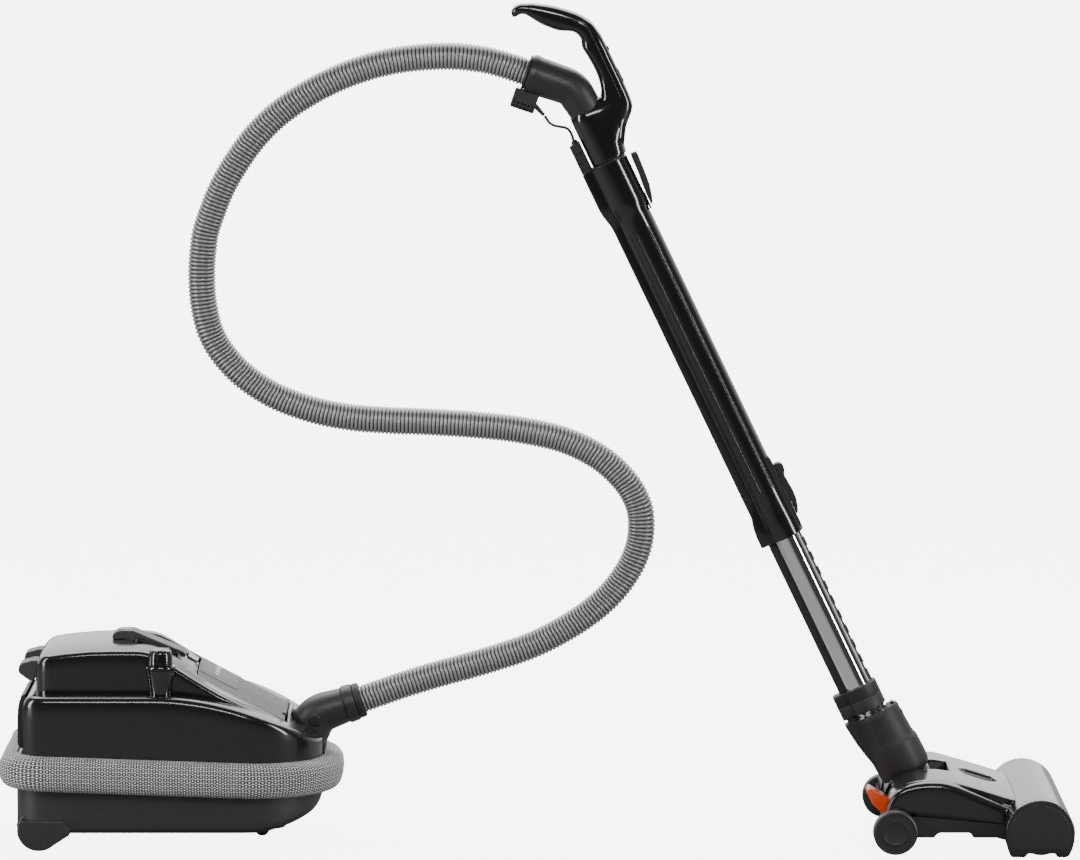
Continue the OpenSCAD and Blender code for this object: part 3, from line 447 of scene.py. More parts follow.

# %% [markdown]
# ## The hose
# The hose is a plastic spiral: silvery round ribs 4.7 mm apart, 34 mm over the ribs, with its colour painted
# near black in the folds between them as painted shade. It is made as one tube whose radius follows the ribs,
# with four rings to a rib, which gives true highlights on every rib. A smooth tube with a bump map would lose
# the stepped outline.
#
# It leaves the canister's cuff, lies over in a flat S held up by its own stiffness and by the grip, and comes
# back into the handle's cuff. Its free length along the centreline is about 1.66 m.

# %% Hose
HOSE_D = 34.0
RIB_PITCH = 4.7
HOSE_ROUTE = [
    (-210, 169), (-186, 177.5), (-162, 186), (-120, 199), (-60, 216), (-2, 236), (50, 264), (88, 294),
    (113, 326), (126, 355), (130, 383), (126, 410), (109, 439), (78, 467), (35, 488), (-17, 500), (-68, 506),
    (-129, 510), (-179, 512), (-227, 516), (-274, 526), (-318, 543), (-354, 567), (-379, 594), (-394, 621),
    (-402, 655), (-404, 690), (-402, 722), (-396, 752), (-374, 805), (-338, 858), (-296, 896), (-239, 928),
    (-178, 948), (-115, 955), (-68, 952), (-38, 945), (-11.5, 936.2),
]
hose_line = flowing(HOSE_ROUTE, 400)
hose_length = float(np.linalg.norm(np.diff(hose_line, axis=0), axis=1).sum())
rib_count = int(round(hose_length / RIB_PITCH))
print("hose length, mm:", round(hose_length), "ribs:", rib_count)


def corrugated(name, route, diameter, ribs, per_rib, sides, material):
    """r(s) = R - depth * (1 - |cos(pi s / pitch)|^0.6): round crests with narrow folds between them."""
    rings = ribs * per_rib + 1
    line = flowing(route, rings)
    phase = np.arange(rings) / per_rib
    radius = diameter / 2 - 2.3 * (1 - np.abs(np.cos(math.pi * phase)) ** 0.55)
    a = np.arange(sides) * 2 * math.pi / sides
    circle = np.stack([np.cos(a), np.sin(a)], axis=-1)
    points, closed = swept(line, circle * radius[:, None, None], ends=False)
    lay = np.zeros(points.shape)
    lay[..., 0] = phase[:, None]
    lay[..., 1] = (a / (2 * math.pi))[None, :]
    return make(name, [(points, closed)], in_row, None, ["hose"], material, sharp=180,
                weld=False, attribute=lay.reshape(-1, 3)), line


hose_finish = bpy.data.materials.new("hose_ribs")
hose_finish.use_nodes = True
tree = hose_finish.node_tree
shader = tree.nodes["Principled BSDF"]
lay = add(tree, "ShaderNodeAttribute", {"attribute_name": "lay"})
split = add(tree, "ShaderNodeSeparateXYZ")
tree.links.new(lay.outputs["Vector"], split.inputs[0])
# Painted shade: the silvery rib colour fades to near black in the folds between the ribs.
wave = math_node(tree, "COSINE", math_node(tree, "MULTIPLY", split.outputs[0], math.pi))
crest = math_node(tree, "POWER", math_node(tree, "ABSOLUTE", wave), 1.2)
painted_fold_shade = add(tree, "ShaderNodeMix", {"data_type": "RGBA"})
painted_fold_shade.inputs["A"].default_value = (0.012, 0.012, 0.013, 1)
painted_fold_shade.inputs["B"].default_value = (0.34, 0.345, 0.35, 1)
tree.links.new(crest, painted_fold_shade.inputs["Factor"])
tree.links.new(painted_fold_shade.outputs["Result"], shader.inputs["Base Color"])
shader.inputs["Roughness"].default_value = 0.34
shader.inputs["Metallic"].default_value = 0.45

hose, hose_path = corrugated("hose_tube", HOSE_ROUTE, HOSE_D, rib_count, 6, 28, hose_finish)
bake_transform(hose)

# %% [markdown]
# ## The lead
# A short black lead carries the power head's supply from the cable block under the elbow to a plug in the
# wand. It is thin and rubbery and keeps the kinked path it is bent into. So it is swept along a fixed curve,
# like the hose.

# %% Lead from the handle to the wand plug
LEAD_D = 3.5
LEAD_ROUTE = [
    (12, 883), (14, 880), (16, 877), (18, 874.5), (21, 872.5), (24, 871), (27, 870.3), (30, 869.8),
    (33, 869.4), (36, 868.8), (39, 867.6), (41.5, 865.6), (43.5, 862.8), (45, 859.5), (46.2, 856.3),
    (47, 853),
]
lead_line = flowing(LEAD_ROUTE, 90)
lead = make("wand_lead", [swept(lead_line, oval(LEAD_D / 2, LEAD_D / 2, 16))], in_row, "wand_upper",
            ["handle_lead"], rubber, sharp=60)

# %% [markdown]
# ## The canister's casing
# The casing is one glossy moulding in two levels. A ledge runs all round at 190 mm, and falls in one long arc
# to the nose. On it stands a narrower deck, 245 mm high, that turns down into a sloping hood. The hood is
# crowned: its middle is higher than its sides, so the deck's dark side face tapers away to a point where the
# hood's edge dives under the ledge.
#
# The surface is lofted along x. Every cross-section has the same number of points: up the side wall, round
# the shoulder, in over the ledge, up the deck's side and over its crown. Openings for the lid, the hand
# recess, the pedals and the hose socket are left out along the grid's own lines, so their rims are clean.

# %% Casing curves
CASE_L, CASE_W, REAR_R, FRONT_R = 371.0, 123.0, 35.0, 100.0
LEDGE_Z, DECK_Z, DECK_HALF = 190.0, 245.0, 90.0
HOOD_BREAK_X, HOOD_BREAK_R, HOOD_SLOPE = 147.0, 60.0, math.radians(27.4)
DECK_X, DECK_REAR_R = 23.0, 14.0


def case_half(x):
    """Half the casing's width at x: two rounded rear corners and two wide front ones."""
    rear = CASE_W - REAR_R + np.sqrt(np.maximum(0, REAR_R ** 2 - np.maximum(0, REAR_R - x) ** 2))
    nose = np.maximum(0, x - (CASE_L - FRONT_R))
    front = CASE_W - FRONT_R + np.sqrt(np.maximum(0, FRONT_R ** 2 - nose ** 2))
    return np.minimum(rear, front)


def ledge_top(x):
    """Flat over the rear, then an arc of radius 366 down to the nose."""
    if x < 10:
        return 117.0
    if x < 22:
        return LEDGE_Z - 12 + math.sqrt(max(0, 144 - (22 - x) ** 2))
    if x < 163:
        return LEDGE_Z
    return LEDGE_Z - 366 + math.sqrt(366 ** 2 - (x - 163) ** 2)


def deck_top(x):
    """Height along the middle: the deck droops a little to the rear, and turns down there."""
    droop = 9 * (max(0.0, 112 - x) / 89) ** 2
    if x < DECK_X + DECK_REAR_R:
        corner = math.sqrt(max(0, DECK_REAR_R ** 2 - (DECK_X + DECK_REAR_R - x) ** 2))
        return DECK_Z - DECK_REAR_R + corner - droop
    if x < 112:
        return DECK_Z - droop
    if x < HOOD_BREAK_X:
        return DECK_Z
    turn_end = HOOD_BREAK_X + HOOD_BREAK_R * math.sin(HOOD_SLOPE)
    if x < turn_end:
        return DECK_Z - HOOD_BREAK_R + math.sqrt(HOOD_BREAK_R ** 2 - (x - HOOD_BREAK_X) ** 2)
    return DECK_Z - HOOD_BREAK_R * (1 - math.cos(HOOD_SLOPE)) - (x - turn_end) * math.tan(HOOD_SLOPE)


def crown(x):
    """How much lower the deck's edge is than its middle."""
    return 4 + 12 * float(ramp((x - 140) / 120))


def deck_half(x):
    corner = 20.0
    return DECK_HALF - corner + math.sqrt(max(0, corner ** 2 - max(0, DECK_X + corner - x) ** 2))


def skin_top(x, y):
    """The casing's top surface over the deck and hood."""
    return deck_top(x) - crown(x) * (abs(y) / deck_half(x)) ** 2.6


TOP_COLUMNS = (79, 74, 68.5, 62, 52, 45, 36, 28, 16, 8)


def case_section(x, level=None):
    """One cross-section: (y, z) points from the far side's foot over the top to the near side's."""
    w, ledge, half = float(case_half(x)), ledge_top(x), deck_half(max(x, DECK_X))
    r = min(9.0, 0.4 * w, 0.3 * (ledge - 84))
    turn = np.linspace(0, math.pi / 2, 6)
    side = [(w, z) for z in (84, 94, min(104, ledge - r))]
    side += [(w, z) for z in np.linspace(104, ledge - r, 5)[1:]]
    side = [(y, min(z, ledge - r)) for y, z in side]
    side += [(w - r + r * math.cos(t), ledge - r + r * math.sin(t)) for t in turn[1:]]
    inner = min(half + 1.5, w - r)
    side += [(y, ledge) for y in np.linspace(w - r, inner, 5)[1:]]

    def top(y):
        natural = skin_top(max(x, DECK_X), y)
        return max(ledge, natural if level is None else min(level, natural))

    rise = top(half - 7) - ledge
    rd = min(7.0, rise)
    edge = min(half, inner)
    side += [(edge, ledge + s * (rise - rd)) for s in (0.0, 0.33, 0.66, 1.0)]
    side += [(edge - rd * (1 - math.cos(t)), ledge + rise - rd + rd * math.sin(t)) for t in turn[1:]]
    side += [(min(y, edge - rd), top(min(y, edge - rd))) for y in TOP_COLUMNS]
    side = np.array(side)
    return np.vstack([side, [(0.0, top(0.0))], side[::-1] * (-1, 1)])


# %% [markdown]
# ## The casing's skin
# The real moulding is a thin wall all over. Here the outer surface is lofted first, the openings are
# left out, and the rest is thickened inwards, so the rims show a real wall. Stations stand close together
# where the surface turns, and far apart where it runs straight.

# %% Casing skin
stations = [(0, 0), (9.99, 0)] + [(x, 0) for x in (10, 10.4, 11.2, 12.6, 14.8, 17.8, 22, 23)]
stations += [(23, 196), (23, None)]
stations += [(x, None) for x in (23.3, 24.2, 26, 28.6, 32, 37, 43, 60, 90, 115, 139, 147, 152, 157, 162, 168,
                                 174.6, 184, 193, 202.5, 217.5, 232, 247, 262, 275, 290, 305, 318, 327, 330)]
stations += [(x, 0) for x in (330, 335, 340, 348, 355, 361, 365, 368, 370.15, 370.8, 371)]
skin = np.array([[(x, y, z) for y, z in case_section(x, level)] for x, level in stations])
rear_wall = np.array([skin[0] * (1, t, 1) for t in (1, 0.5, 0)])
nose_wall = np.array([skin[-1] * (1, t, 1) for t in (1, 0.5, 0)])


def casing_keeps(c):
    x, y, z = c[:, 0], np.abs(c[:, 1]), c[:, 2]
    hand_pit = (x > 139) & (x < 193) & (y < 45) & (z > 200)
    lid_hole = (x > 217.5) & (x < 327) & (y < 68.5) & (z > 140)
    latch_hole = (x > 202.5) & (x < 217.5) & (y < 16) & (z > 200)
    pedal_slots = (x < 23.1) & (y > 28) & (y < 62) & (z > 196)
    hose_recess = (x > 330) & (y < 36) & (z > 104)
    return ~(hand_pit | lid_hole | latch_hole | pedal_slots | hose_recess)


make("casing_skin", [(skin, False), (rear_wall, False), (nose_wall, False)], in_canister, "canister",
     ["upper_casing"], case_gloss, sharp=38, thick=2.4, keep=casing_keeps)
print("casing points:", skin.shape)

# %% [markdown]
# The hand recess under the carry handle is a deep tub with straight walls. The hose recess at the nose is a
# scoop with a back wall and a sloping floor. Both are moulded in one with the casing.

# %% Tubs
pit_edge = [(x, y) for x, y in ([(x, -45) for x in np.linspace(139, 193, 12)] + [(193, y) for y in
            np.linspace(-45, 45, 16)[1:]] + [(x, 45) for x in np.linspace(193, 139, 12)[1:]]
            + [(139, y) for y in np.linspace(45, -45, 16)[1:-1]])]
pit_loops = [[(x, y, skin_top(x, y) - 0.2) for x, y in pit_edge]]
for shrink, z in ((0.0, 222), (0.6, 218), (2.0, 215.4), (4.5, 214.2), (8, 214)):
    pit_loops.append([(166 + (x - 166) * (1 - shrink / 27), y * (1 - shrink / 45), z) for x, y in pit_edge])
pit_loops.append([(166, 0, 214)] * len(pit_edge))
make("hand_recess", [(np.array(pit_loops), True)], in_canister, "canister", [], matt, sharp=50,
     thick=-1.2)

scoop_x = np.array([330, 332, 335, 345, 355, 365, 371.0])
scoop_z = np.array([157.0, 143, 128, 120, 112, 104, 104])
scoop_top = np.array([ledge_top(x) for x in scoop_x])
scoop_y = np.linspace(-36, 36, 9)
floor_grid = np.array([[(x, y, z) for y in scoop_y] for x, z in zip(scoop_x, np.minimum(scoop_z, 150))])
cheeks = [np.array([[(x, s * 36, z + (t - z) * u) for u in (0, 0.5, 1)] for x, z, t in
                    zip(scoop_x, np.minimum(scoop_z, 150), scoop_top)]) for s in (-1, 1)]
make("hose_scoop", [(floor_grid, False), (cheeks[0], False), (cheeks[1], False)], in_canister, "canister", [],
     matt, sharp=50, thick=-1.2)

# %% [markdown]
# ## The tray
# The lower half is a satin grey tray with a flat underside and a nose that sweeps up in a shallow slope to a
# rounded chin. It is lofted along x like the casing. Its rear corners are left open for the wheels, and an
# arch with a back wall closes each opening.

# %% Tray
def tray_section(x):
    w = float(case_half(x))
    if x < 6:
        low = 31 - 8 * x / 6
    else:
        low = float(np.interp(x, [291, 305, 320, 335, 350, 358, 364, 368, 370, 371],
                              [23, 24.5, 28, 32.5, 38.5, 43, 49, 57, 67, 80]))
    r = min(9.0, 0.4 * w)
    turn = np.linspace(0, math.pi / 2, 6)
    side = [(w, z) for z in np.linspace(95, low + r, 8)]
    side += [(w - r + r * math.cos(t), low + r - r * math.sin(t)) for t in turn[1:]]
    side += [(min(y, w - r), low) for y in (110, 91, 70, 45, 25, 10)]
    side = np.array(side)
    return np.vstack([side, [(0.0, low)], side[::-1] * (-1, 1)])


tray_x = np.r_[0, 1, 2.5, 6, 12, 20, 30, 40, 56, 80, 120, 180, 240, 271, 285, 291, 300, 310, 320, 330, 338,
               345, 351, 357, 362, 366, 369, 370.4, 371]
tray = np.array([[(x, y, z) for y, z in tray_section(x)] for x in tray_x])
tray_rear = np.array([tray[0] * (1, t, 1) for t in (1, 0.5, 0)])
tray_nose = np.array([tray[-1] * (1, t, 1) for t in (1, 0.5, 0)])
make("tray_skin", [(tray, False), (tray_rear, False), (tray_nose, False)], in_canister, "canister",
     ["base_tray"], tray_grey, sharp=38, thick=2.4,
     keep=lambda c: ~((c[:, 0] < 56) & (np.abs(c[:, 1]) > 91) & (c[:, 2] < 33)))
for hand, sign in (("near", -1), ("far", 1)):
    a = np.linspace(0, math.pi, 25)
    arch = np.array([[(27 + 26.7 * math.cos(t),
                       sign * min(y, float(case_half(27 + 26.7 * math.cos(t))) - 1.2),
                       26 + 26.7 * math.sin(t)) for t in a] for y in (90, 116)])
    back = np.array([[(27 + r * math.cos(t), sign * 90, 26 + r * math.sin(t)) for t in a] for r in (26.7, 0)])
    make("wheel_arch_" + hand, [(arch, False), (back, False)], in_canister, "canister", [],
         matt, thick=-1.0)

# %% [markdown]
# ## The bumper belt
# A foam-filled cord sleeve runs right round the casing and hides the joint between tray and casing. It slopes
# down a little towards the front. Its sleeve is knitted in pale cord with staggered black rings, which
# reads as a fine chain from a distance. The pattern is worked out from the length round the belt and the
# height up it, so that it runs straight round the corners; a pattern placed from space would smear there.

# %% Bumper belt
def belt_path():
    """The casing's outline in plan, every 4 mm, with its outward direction."""
    parts = []
    for cx, cy, r, a0, a1 in ((REAR_R, CASE_W - REAR_R, REAR_R, 180, 90),
                              (CASE_L - FRONT_R, CASE_W - FRONT_R, FRONT_R, 90, 0),
                              (CASE_L - FRONT_R, FRONT_R - CASE_W, FRONT_R, 0, -90),
                              (REAR_R, REAR_R - CASE_W, REAR_R, -90, -180)):
        a = np.radians(np.linspace(a0, a1, 24))
        parts.append(np.stack([cx + r * np.cos(a), cy + r * np.sin(a)], axis=-1))
    corners = np.vstack(parts + [parts[0][:1]])
    s = np.r_[0, np.cumsum(np.linalg.norm(np.diff(corners, axis=0), axis=1))]
    at = np.linspace(0, s[-1], int(s[-1] / 4) + 1)
    line = np.stack([np.interp(at, s, corners[:, q]) for q in (0, 1)], axis=-1)
    t = np.gradient(line, axis=0)
    t[0] = t[-1] = t[0] + t[-1]
    t /= np.linalg.norm(t, axis=1)[:, None]
    return line, np.stack([-t[:, 1], t[:, 0]], axis=-1), at


BELT_Z, BELT_HALF, BELT_PROUD = 92.0, 21.0, 22.6
line, out, belt_s = belt_path()
phi = np.linspace(-math.pi / 2, math.pi / 2, 29)
bulge = np.abs(np.cos(phi)) ** 0.62
height = np.sign(np.sin(phi)) * np.abs(np.sin(phi)) ** 0.78
give = 0.35 * np.sin(belt_s / 61.0) + 0.25 * np.sin(belt_s / 23.0 + 1.0)
reach = (BELT_PROUD - 0.6 + give)[:, None] * bulge[None, :] - 0.5
belt = np.empty((len(line), len(phi), 3))
belt[..., 0] = line[:, None, 0] + out[:, None, 0] * reach
belt[..., 1] = line[:, None, 1] + out[:, None, 1] * reach
belt_fall = np.tan(math.radians(2)) * (line[:, None, 0] - CASE_L / 2)
belt[..., 2] = BELT_Z + BELT_HALF * height[None, :] - belt_fall
up_s = np.r_[0, np.cumsum(np.hypot(np.diff(BELT_PROUD * bulge), np.diff(BELT_HALF * height)))]
belt_lay = np.zeros(belt.shape)
belt_lay[..., 0] = belt_s[:, None] * MM
belt_lay[..., 1] = up_s[None, :] * MM
print("belt, mm round:", round(belt_s[-1]), "up the sleeve:", round(up_s[-1]))

weave, w_in, w_out = new_group("chain_knit",
                               [("Pitch", "NodeSocketFloat", 0.0066), ("Row", "NodeSocketFloat", 0.005)],
                               [("Base Color", "NodeSocketColor"), ("Height", "NodeSocketFloat")])
lay_in = add(weave, "ShaderNodeAttribute", {"attribute_name": "lay"})
lay_xyz = add(weave, "ShaderNodeSeparateXYZ")
weave.links.new(lay_in.outputs["Vector"], lay_xyz.inputs[0])
row = math_node(weave, "DIVIDE", lay_xyz.outputs[1], w_in.outputs["Row"])
odd = math_node(weave, "MULTIPLY", math_node(weave, "PINGPONG", math_node(weave, "FLOOR", row), 1.0), 0.5)
column = math_node(weave, "ADD", math_node(weave, "DIVIDE", lay_xyz.outputs[0], w_in.outputs["Pitch"]), odd)
fx = math_node(weave, "SUBTRACT", math_node(weave, "FRACT", column), 0.5)
fy = math_node(weave, "SUBTRACT", math_node(weave, "FRACT", row), 0.5)
reach2 = math_node(weave, "ADD", math_node(weave, "POWER", math_node(weave, "ABSOLUTE", fx), 2.0),
                   math_node(weave, "MULTIPLY", math_node(weave, "POWER", math_node(weave, "ABSOLUTE", fy),
                                                          2.0), 0.8))
radius = math_node(weave, "SQRT", reach2)
off_ring = math_node(weave, "ABSOLUTE", math_node(weave, "SUBTRACT", radius, 0.32))
ring = math_node(weave, "SUBTRACT", 1.0, math_node(weave, "MULTIPLY", off_ring, 5.0))
ring = math_node(weave, "MAXIMUM", ring, 0.0)
fuzz = add(weave, "ShaderNodeTexNoise", Scale=2200.0, Detail=2.0)
fuzz_place = add(weave, "ShaderNodeTexCoord")
weave.links.new(fuzz_place.outputs["Object"], fuzz.inputs["Vector"])
ring_soft = math_node(weave, "MULTIPLY", math_node(weave, "POWER", ring, 0.42),
                      math_node(weave, "MULTIPLY_ADD", fuzz.outputs["Fac"], 0.5, 0.95))
cord_mix = add(weave, "ShaderNodeMix", {"data_type": "RGBA"})
cord_mix.inputs["A"].default_value = (0.93, 0.92, 0.90, 1)
cord_mix.inputs["B"].default_value = (0.012, 0.012, 0.013, 1)
ring_soft = math_node(weave, "MINIMUM", ring_soft, 1.0)
weave.links.new(ring_soft, cord_mix.inputs["Factor"])
weave.links.new(cord_mix.outputs["Result"], w_out.inputs["Base Color"])
weave.links.new(math_node(weave, "SUBTRACT", 1.0, ring_soft), w_out.inputs["Height"])

belt_cloth = bpy.data.materials.new("belt_cloth")
belt_cloth.use_nodes = True
tree = belt_cloth.node_tree
shader = tree.nodes["Principled BSDF"]
knit = tree.nodes.new("ShaderNodeGroup")
knit.node_tree = weave
bump = tree.nodes.new("ShaderNodeBump")
bump.inputs["Strength"].default_value = 0.6
bump.inputs["Distance"].default_value = 0.0008
tree.links.new(knit.outputs["Base Color"], shader.inputs["Base Color"])
tree.links.new(knit.outputs["Height"], bump.inputs["Height"])
tree.links.new(bump.outputs["Normal"], shader.inputs["Normal"])
shader.inputs["Roughness"].default_value = 0.8
shader.inputs["Sheen Weight"].default_value = 0.2
belt_piece = make("belt_sleeve", [(belt, False)], in_canister, "canister", ["airbelt"],
                  belt_cloth, sharp=180, weld=False, attribute=belt_lay.reshape(-1, 3))

# %% [markdown]
# ## Rear, wheels and castor
# The rear panel is a plain satin cover with cooling ribs round the mains lead's outlet. The rear wheels are
# almost hidden behind lobed covers that clip to the tray's sides, and a small castor steers under the nose.

# %% Rear panel and outlet
panel_outline = [(10, 187), (6, 185), (2.4, 178), (0.6, 168), (0, 158), (0, 128), (1.2, 123), (4, 120.5),
                 (10, 120)]
panel_grids = [prism(panel_outline, -75, 75)]
for z in np.arange(154, 181, 5.2):
    x = float(np.interp(z, [158, 168, 178, 185], [0, 0.6, 2.4, 6]))
    panel_grids.append(prism(box_outline(x - 0.9, x + 2, z - 1.0, z + 1.0, 0.6, 2), -58, 58))
make("rear_cover", panel_grids, in_canister, "canister", ["rear_panel"], satin, bevel=0.6,
     segments=2)
make("lead_outlet",
     [revolved([(4.5, 8), (4.5, -1.6), (5.4, -2.6), (8.6, -2.2), (9.6, -1), (9.8, 1), (9.8, 8), (4.5, 8)],
               (1, 0, 140), (1, 0, 0), 48)], in_canister, "canister", ["cord_outlet"],
     rubber)

# %% [markdown]
# ## The rear wheels
# Each wheel is a turned tyre with a shallow groove on each side and a fine seam round its middle, so a
# revolved profile gives it. The cover outside it is a flat moulded plate with a rounded lobe behind and a
# straight tail in front: one outline, made thick, with soft edges.

# %% Rear wheels, covers and axles
a = np.radians(np.linspace(-50, -182, 20))
cover_outline = np.vstack([[(4.2, 36), (5.6, 38.4), (8.5, 39), (53, 39), (57.5, 37.5), (65, 29), (66.5, 25.5),
                            (65, 21.5)], np.stack([29 + 24.6 * np.cos(a), 27 + 24.6 * np.sin(a)], axis=-1)])
for hand, sign in (("near", -1), ("far", 1)):
    low, high = sorted((sign * 116.5, sign * 123.4))
    make("wheel_cover_" + hand, [prism(cover_outline, low, high)], in_canister, "canister",
         ["wheel_covers"], tray_grey, bevel=2.2, segments=4)
    tyre = [(0, -10), (7, -10), (8, -9), (19, -9), (20, -10), (23.5, -10), (25.4, -8.6), (26, -6.5), (26, -1),
            (25.3, 0), (26, 1), (26, 6.5), (25.4, 8.6), (23.5, 10), (20, 10), (19, 9), (8, 9), (7, 10),
            (0, 10)]
    make("tyre_" + hand, [revolved(tyre, (27, sign * 103, 26), (0, 1, 0))], in_canister, "rear_wheel_" + hand,
         ["rear_wheel_" + hand], rubber)

# %% [markdown]
# ## The castor
# The castor is a small cup that turns under the tray, with two cheeks that hold a narrow wheel. Cup and
# wheel are turned, and the cheeks are plates. The wheel trails behind the swivel, as castors must.

# %% Castor
plate = [(0, 22.4), (19, 22.4), (20.6, 21.8), (21.2, 20.4), (20.6, 15), (18, 11), (16.6, 10.4), (16, 10.8),
         (16, 13.4), (0, 13.4)]
fork_grids = [revolved(plate, (303, 0, 0), (0, 0, 1))]
cheek_side = softened([(286, 20), (286, 9), (289, 3.2), (297, 3.2), (301, 9), (303, 20)], 2)
for low, high in ((-11, -7.6), (7.6, 11)):
    fork_grids.append(prism(cheek_side, low, high))
make("castor_frame", fork_grids, in_canister, "castor", ["castor_fork"], matt, bevel=0.5,
     segments=2)
make("castor_roller",
     [revolved([(0, -7), (6.5, -7), (8, -6.6), (9, -5.4), (9, 5.4), (8, 6.6), (6.5, 7), (0, 7)],
               (293, 0, 9), (0, 1, 0), 48)], in_canister, "castor_wheel", ["castor_wheel"],
     mid_grey)

# %% [markdown]
# ## Deck fittings
# A grey bar arches over the hand recess as the carry handle. Behind it two wedge-shaped foot pedals stand out
# of the deck's rear wall. The round suction knob stands on its own pod at the near edge of the deck. The lid
# is a crowned panel in the hood with a lighter control panel let into its upper end.

# %% Carry handle
bar = [(112.4, 245), (112, 249.5), (114, 252.5), (119, 255.2), (126, 256), (138, 255.6), (150, 250.4),
       (176, 239.6), (198, 230.4), (202, 226.5), (201.6, 224.4), (193.4, 228.6), (176, 234.6), (158, 241.6),
       (146, 245.6), (139, 246)]
make("carry_bar", [prism(bar, -16.5, 16.5)], in_canister, "canister", ["carry_handle"], mid_grey,
     bevel=2.2, segments=4)
arrow = [(118, -7), (126, -1.2), (134, -7), (134, -4), (126, 1.8), (118, -4)]
for k in (0, 1):
    make("bar_mark_%d" % k, [prism([(x, y + 5.5 * k) for x, y in arrow], 256.0, 256.35, "z")], in_canister,
         "canister", [], marks)

# %% [markdown]
# ## The suction knob
# The pod flares upwards from the ledge to a thin rim, and the knob sits on it with a fine gap. The knob is
# turned and its side is fluted for grip: the radius is lowered a little at even angles. A small raised
# bar on top shows where it points.

# %% Suction knob and pod
POD_AT = (175, -95, 0)
pod_profile = [(0, 188.4), (13.6, 188.4), (13.6, 190.5), (15.4, 206), (17.6, 219.6), (18.6, 220.6),
               (19, 221.8), (19, 223.4), (18.4, 224.6), (16.4, 225), (0, 225)]
make("knob_post", [revolved(pod_profile, POD_AT, (0, 0, 1), 96)], in_canister, "canister", ["knob_pod"],
     gloss)
knob_profile = [(0, 225.35), (14.6, 225.35), (15, 226), (14.6, 235), (14.1, 240), (12.9, 243), (10.6, 244.9),
                (7, 245.7), (0, 245.9)]
knob, around = revolved(knob_profile, (0, 0, 0), (0, 0, 1), 120)
turn = np.arctan2(knob[..., 1], knob[..., 0])
flute = 1 - 0.035 * ramp((np.cos(turn * 10) - 0.2) / 0.8) * ((knob[..., 2] > 226.5) & (knob[..., 2] < 242))
knob[..., :2] *= flute[..., None]
pointer = prism(box_outline(2, 11, -0.9, 0.9, 0.8, 3), 245.2, 246.2, "z")
make("suction_dial", [(knob + POD_AT, around)], in_canister, "suction_knob", ["suction_knob"],
     gloss)
make("dial_pointer", [(pointer[0] + POD_AT, pointer[1])], in_canister, "suction_knob", [],
     marks)

# %% [markdown]
# ## The foot pedals
# Two wedges stand out of the deck's rear wall, one each side: power and cord rewind. Each is one side
# outline made wide, with rounded edges. A plain ring with a gap lies on each as its mark.

# %% Pedals
wedge = [(1, 210.4), (0.6, 214), (1.4, 219.4), (4, 222.2), (18, 226), (38, 226), (38, 214), (26, 208),
         (18, 201), (13, 201.6)]
for name, y0 in (("power", -45), ("rewind", 45)):
    make(name + "_tread", [prism(wedge, y0 - 16.5, y0 + 16.5)], in_canister, name + "_pedal",
         [name + "_pedal"], mid_grey, bevel=1.6, segments=3)
    a = np.linspace(0.6, 2 * math.pi - 0.6, 20) + math.pi
    mark = np.vstack([np.stack([11 + r * np.cos(q), y0 + r * np.sin(q)], axis=-1)
                               for r, q in ((3.4, a), (2.5, a[::-1]))])
    grid, kinds = prism(mark, 0, 0.3, "z")
    grid[:, 2] += 222.9 + (grid[:, 0] - 4) * 0.271 - 0.75
    make(name + "_mark", [(grid, kinds)], in_canister, name + "_pedal", [], marks)

# %% [markdown]
# ## The lid
# The lid, its control panel and the marks all follow the hood's crowned surface. So one helper cuts a slab
# out of that surface at a given height. The latch is a small plate between the lid and the hand recess.

# %% Lid, control panel and latch
def hood_patch(x0, x1, half, lift, drop, nx=26, ny=41):
    """A closed slab whose top follows the hood's crowned surface, raised by lift, and drop thick."""
    x, y = np.meshgrid(np.linspace(x0, x1, nx), np.linspace(-half, half, ny), indexing="ij")
    z = np.vectorize(skin_top)(x, y) + lift
    top = np.stack([x, y, z], axis=-1)
    low = np.stack([x, y, z - drop], axis=-1)
    rim_top = np.concatenate([top[0], top[1:, -1], top[-1, -2::-1], top[-2:0:-1, 0]])
    rim_low = np.concatenate([low[0], low[1:, -1], low[-1, -2::-1], low[-2:0:-1, 0]])
    return [(top, False), (low, False), (np.array([rim_top, rim_low]), True)]


lid_grids = hood_patch(218.4, 324, 67.9, 0.0, 3.4)
lid_grids.append(revolved([(0, -50), (3.4, -50), (3.4, 50), (0, 50)], (322, 0, 157), (0, 1, 0), 32))
make("lid_panel", lid_grids, in_canister, "lid", ["lid"], satin, bevel=0.8, segments=2)
make("display_panel", hood_patch(221, 266, 50, 0.7, 1.6), in_canister, "lid", ["control_panel"],
     mid_grey, bevel=0.6, segments=2)
for k, (x, y) in enumerate([(240, -30), (240, -15), (240, 0), (240, 15), (240, 30)]):
    patch = hood_patch(x - 2.4, x + 2.4, 4.0, 0.95, 0.3, 4, 5)
    patch = [(np.asarray(p, float) + (0, y, 0), kind) for p, kind in patch]
    for p, _ in patch:
        p[..., 2] -= skin_top(x, 0) - skin_top(x, y)
    make("panel_mark_%d" % k, patch, in_canister, "lid", [], marks)
z0, z1 = skin_top(204, 0), skin_top(216, 0)
make("latch_plate",
     [prism([(204, z0 + 1.6), (209, (z0 + z1) / 2 + 2.0), (216, z1 + 1.0), (216, z1 - 3), (205, z0 - 3)],
            -14, 14)], in_canister, "lid_latch", ["lid_latch"], gloss, bevel=1.0)

# %% [markdown]
# ## The hose socket
# The hose plugs into a square block with a round collar. The elbow turns in it, and a second joint, the cuff,
# lets the hose twist. The elbow is satin, thick-walled and a little fatter at its foot, so it is swept along
# its bend with a radius that changes on the way.

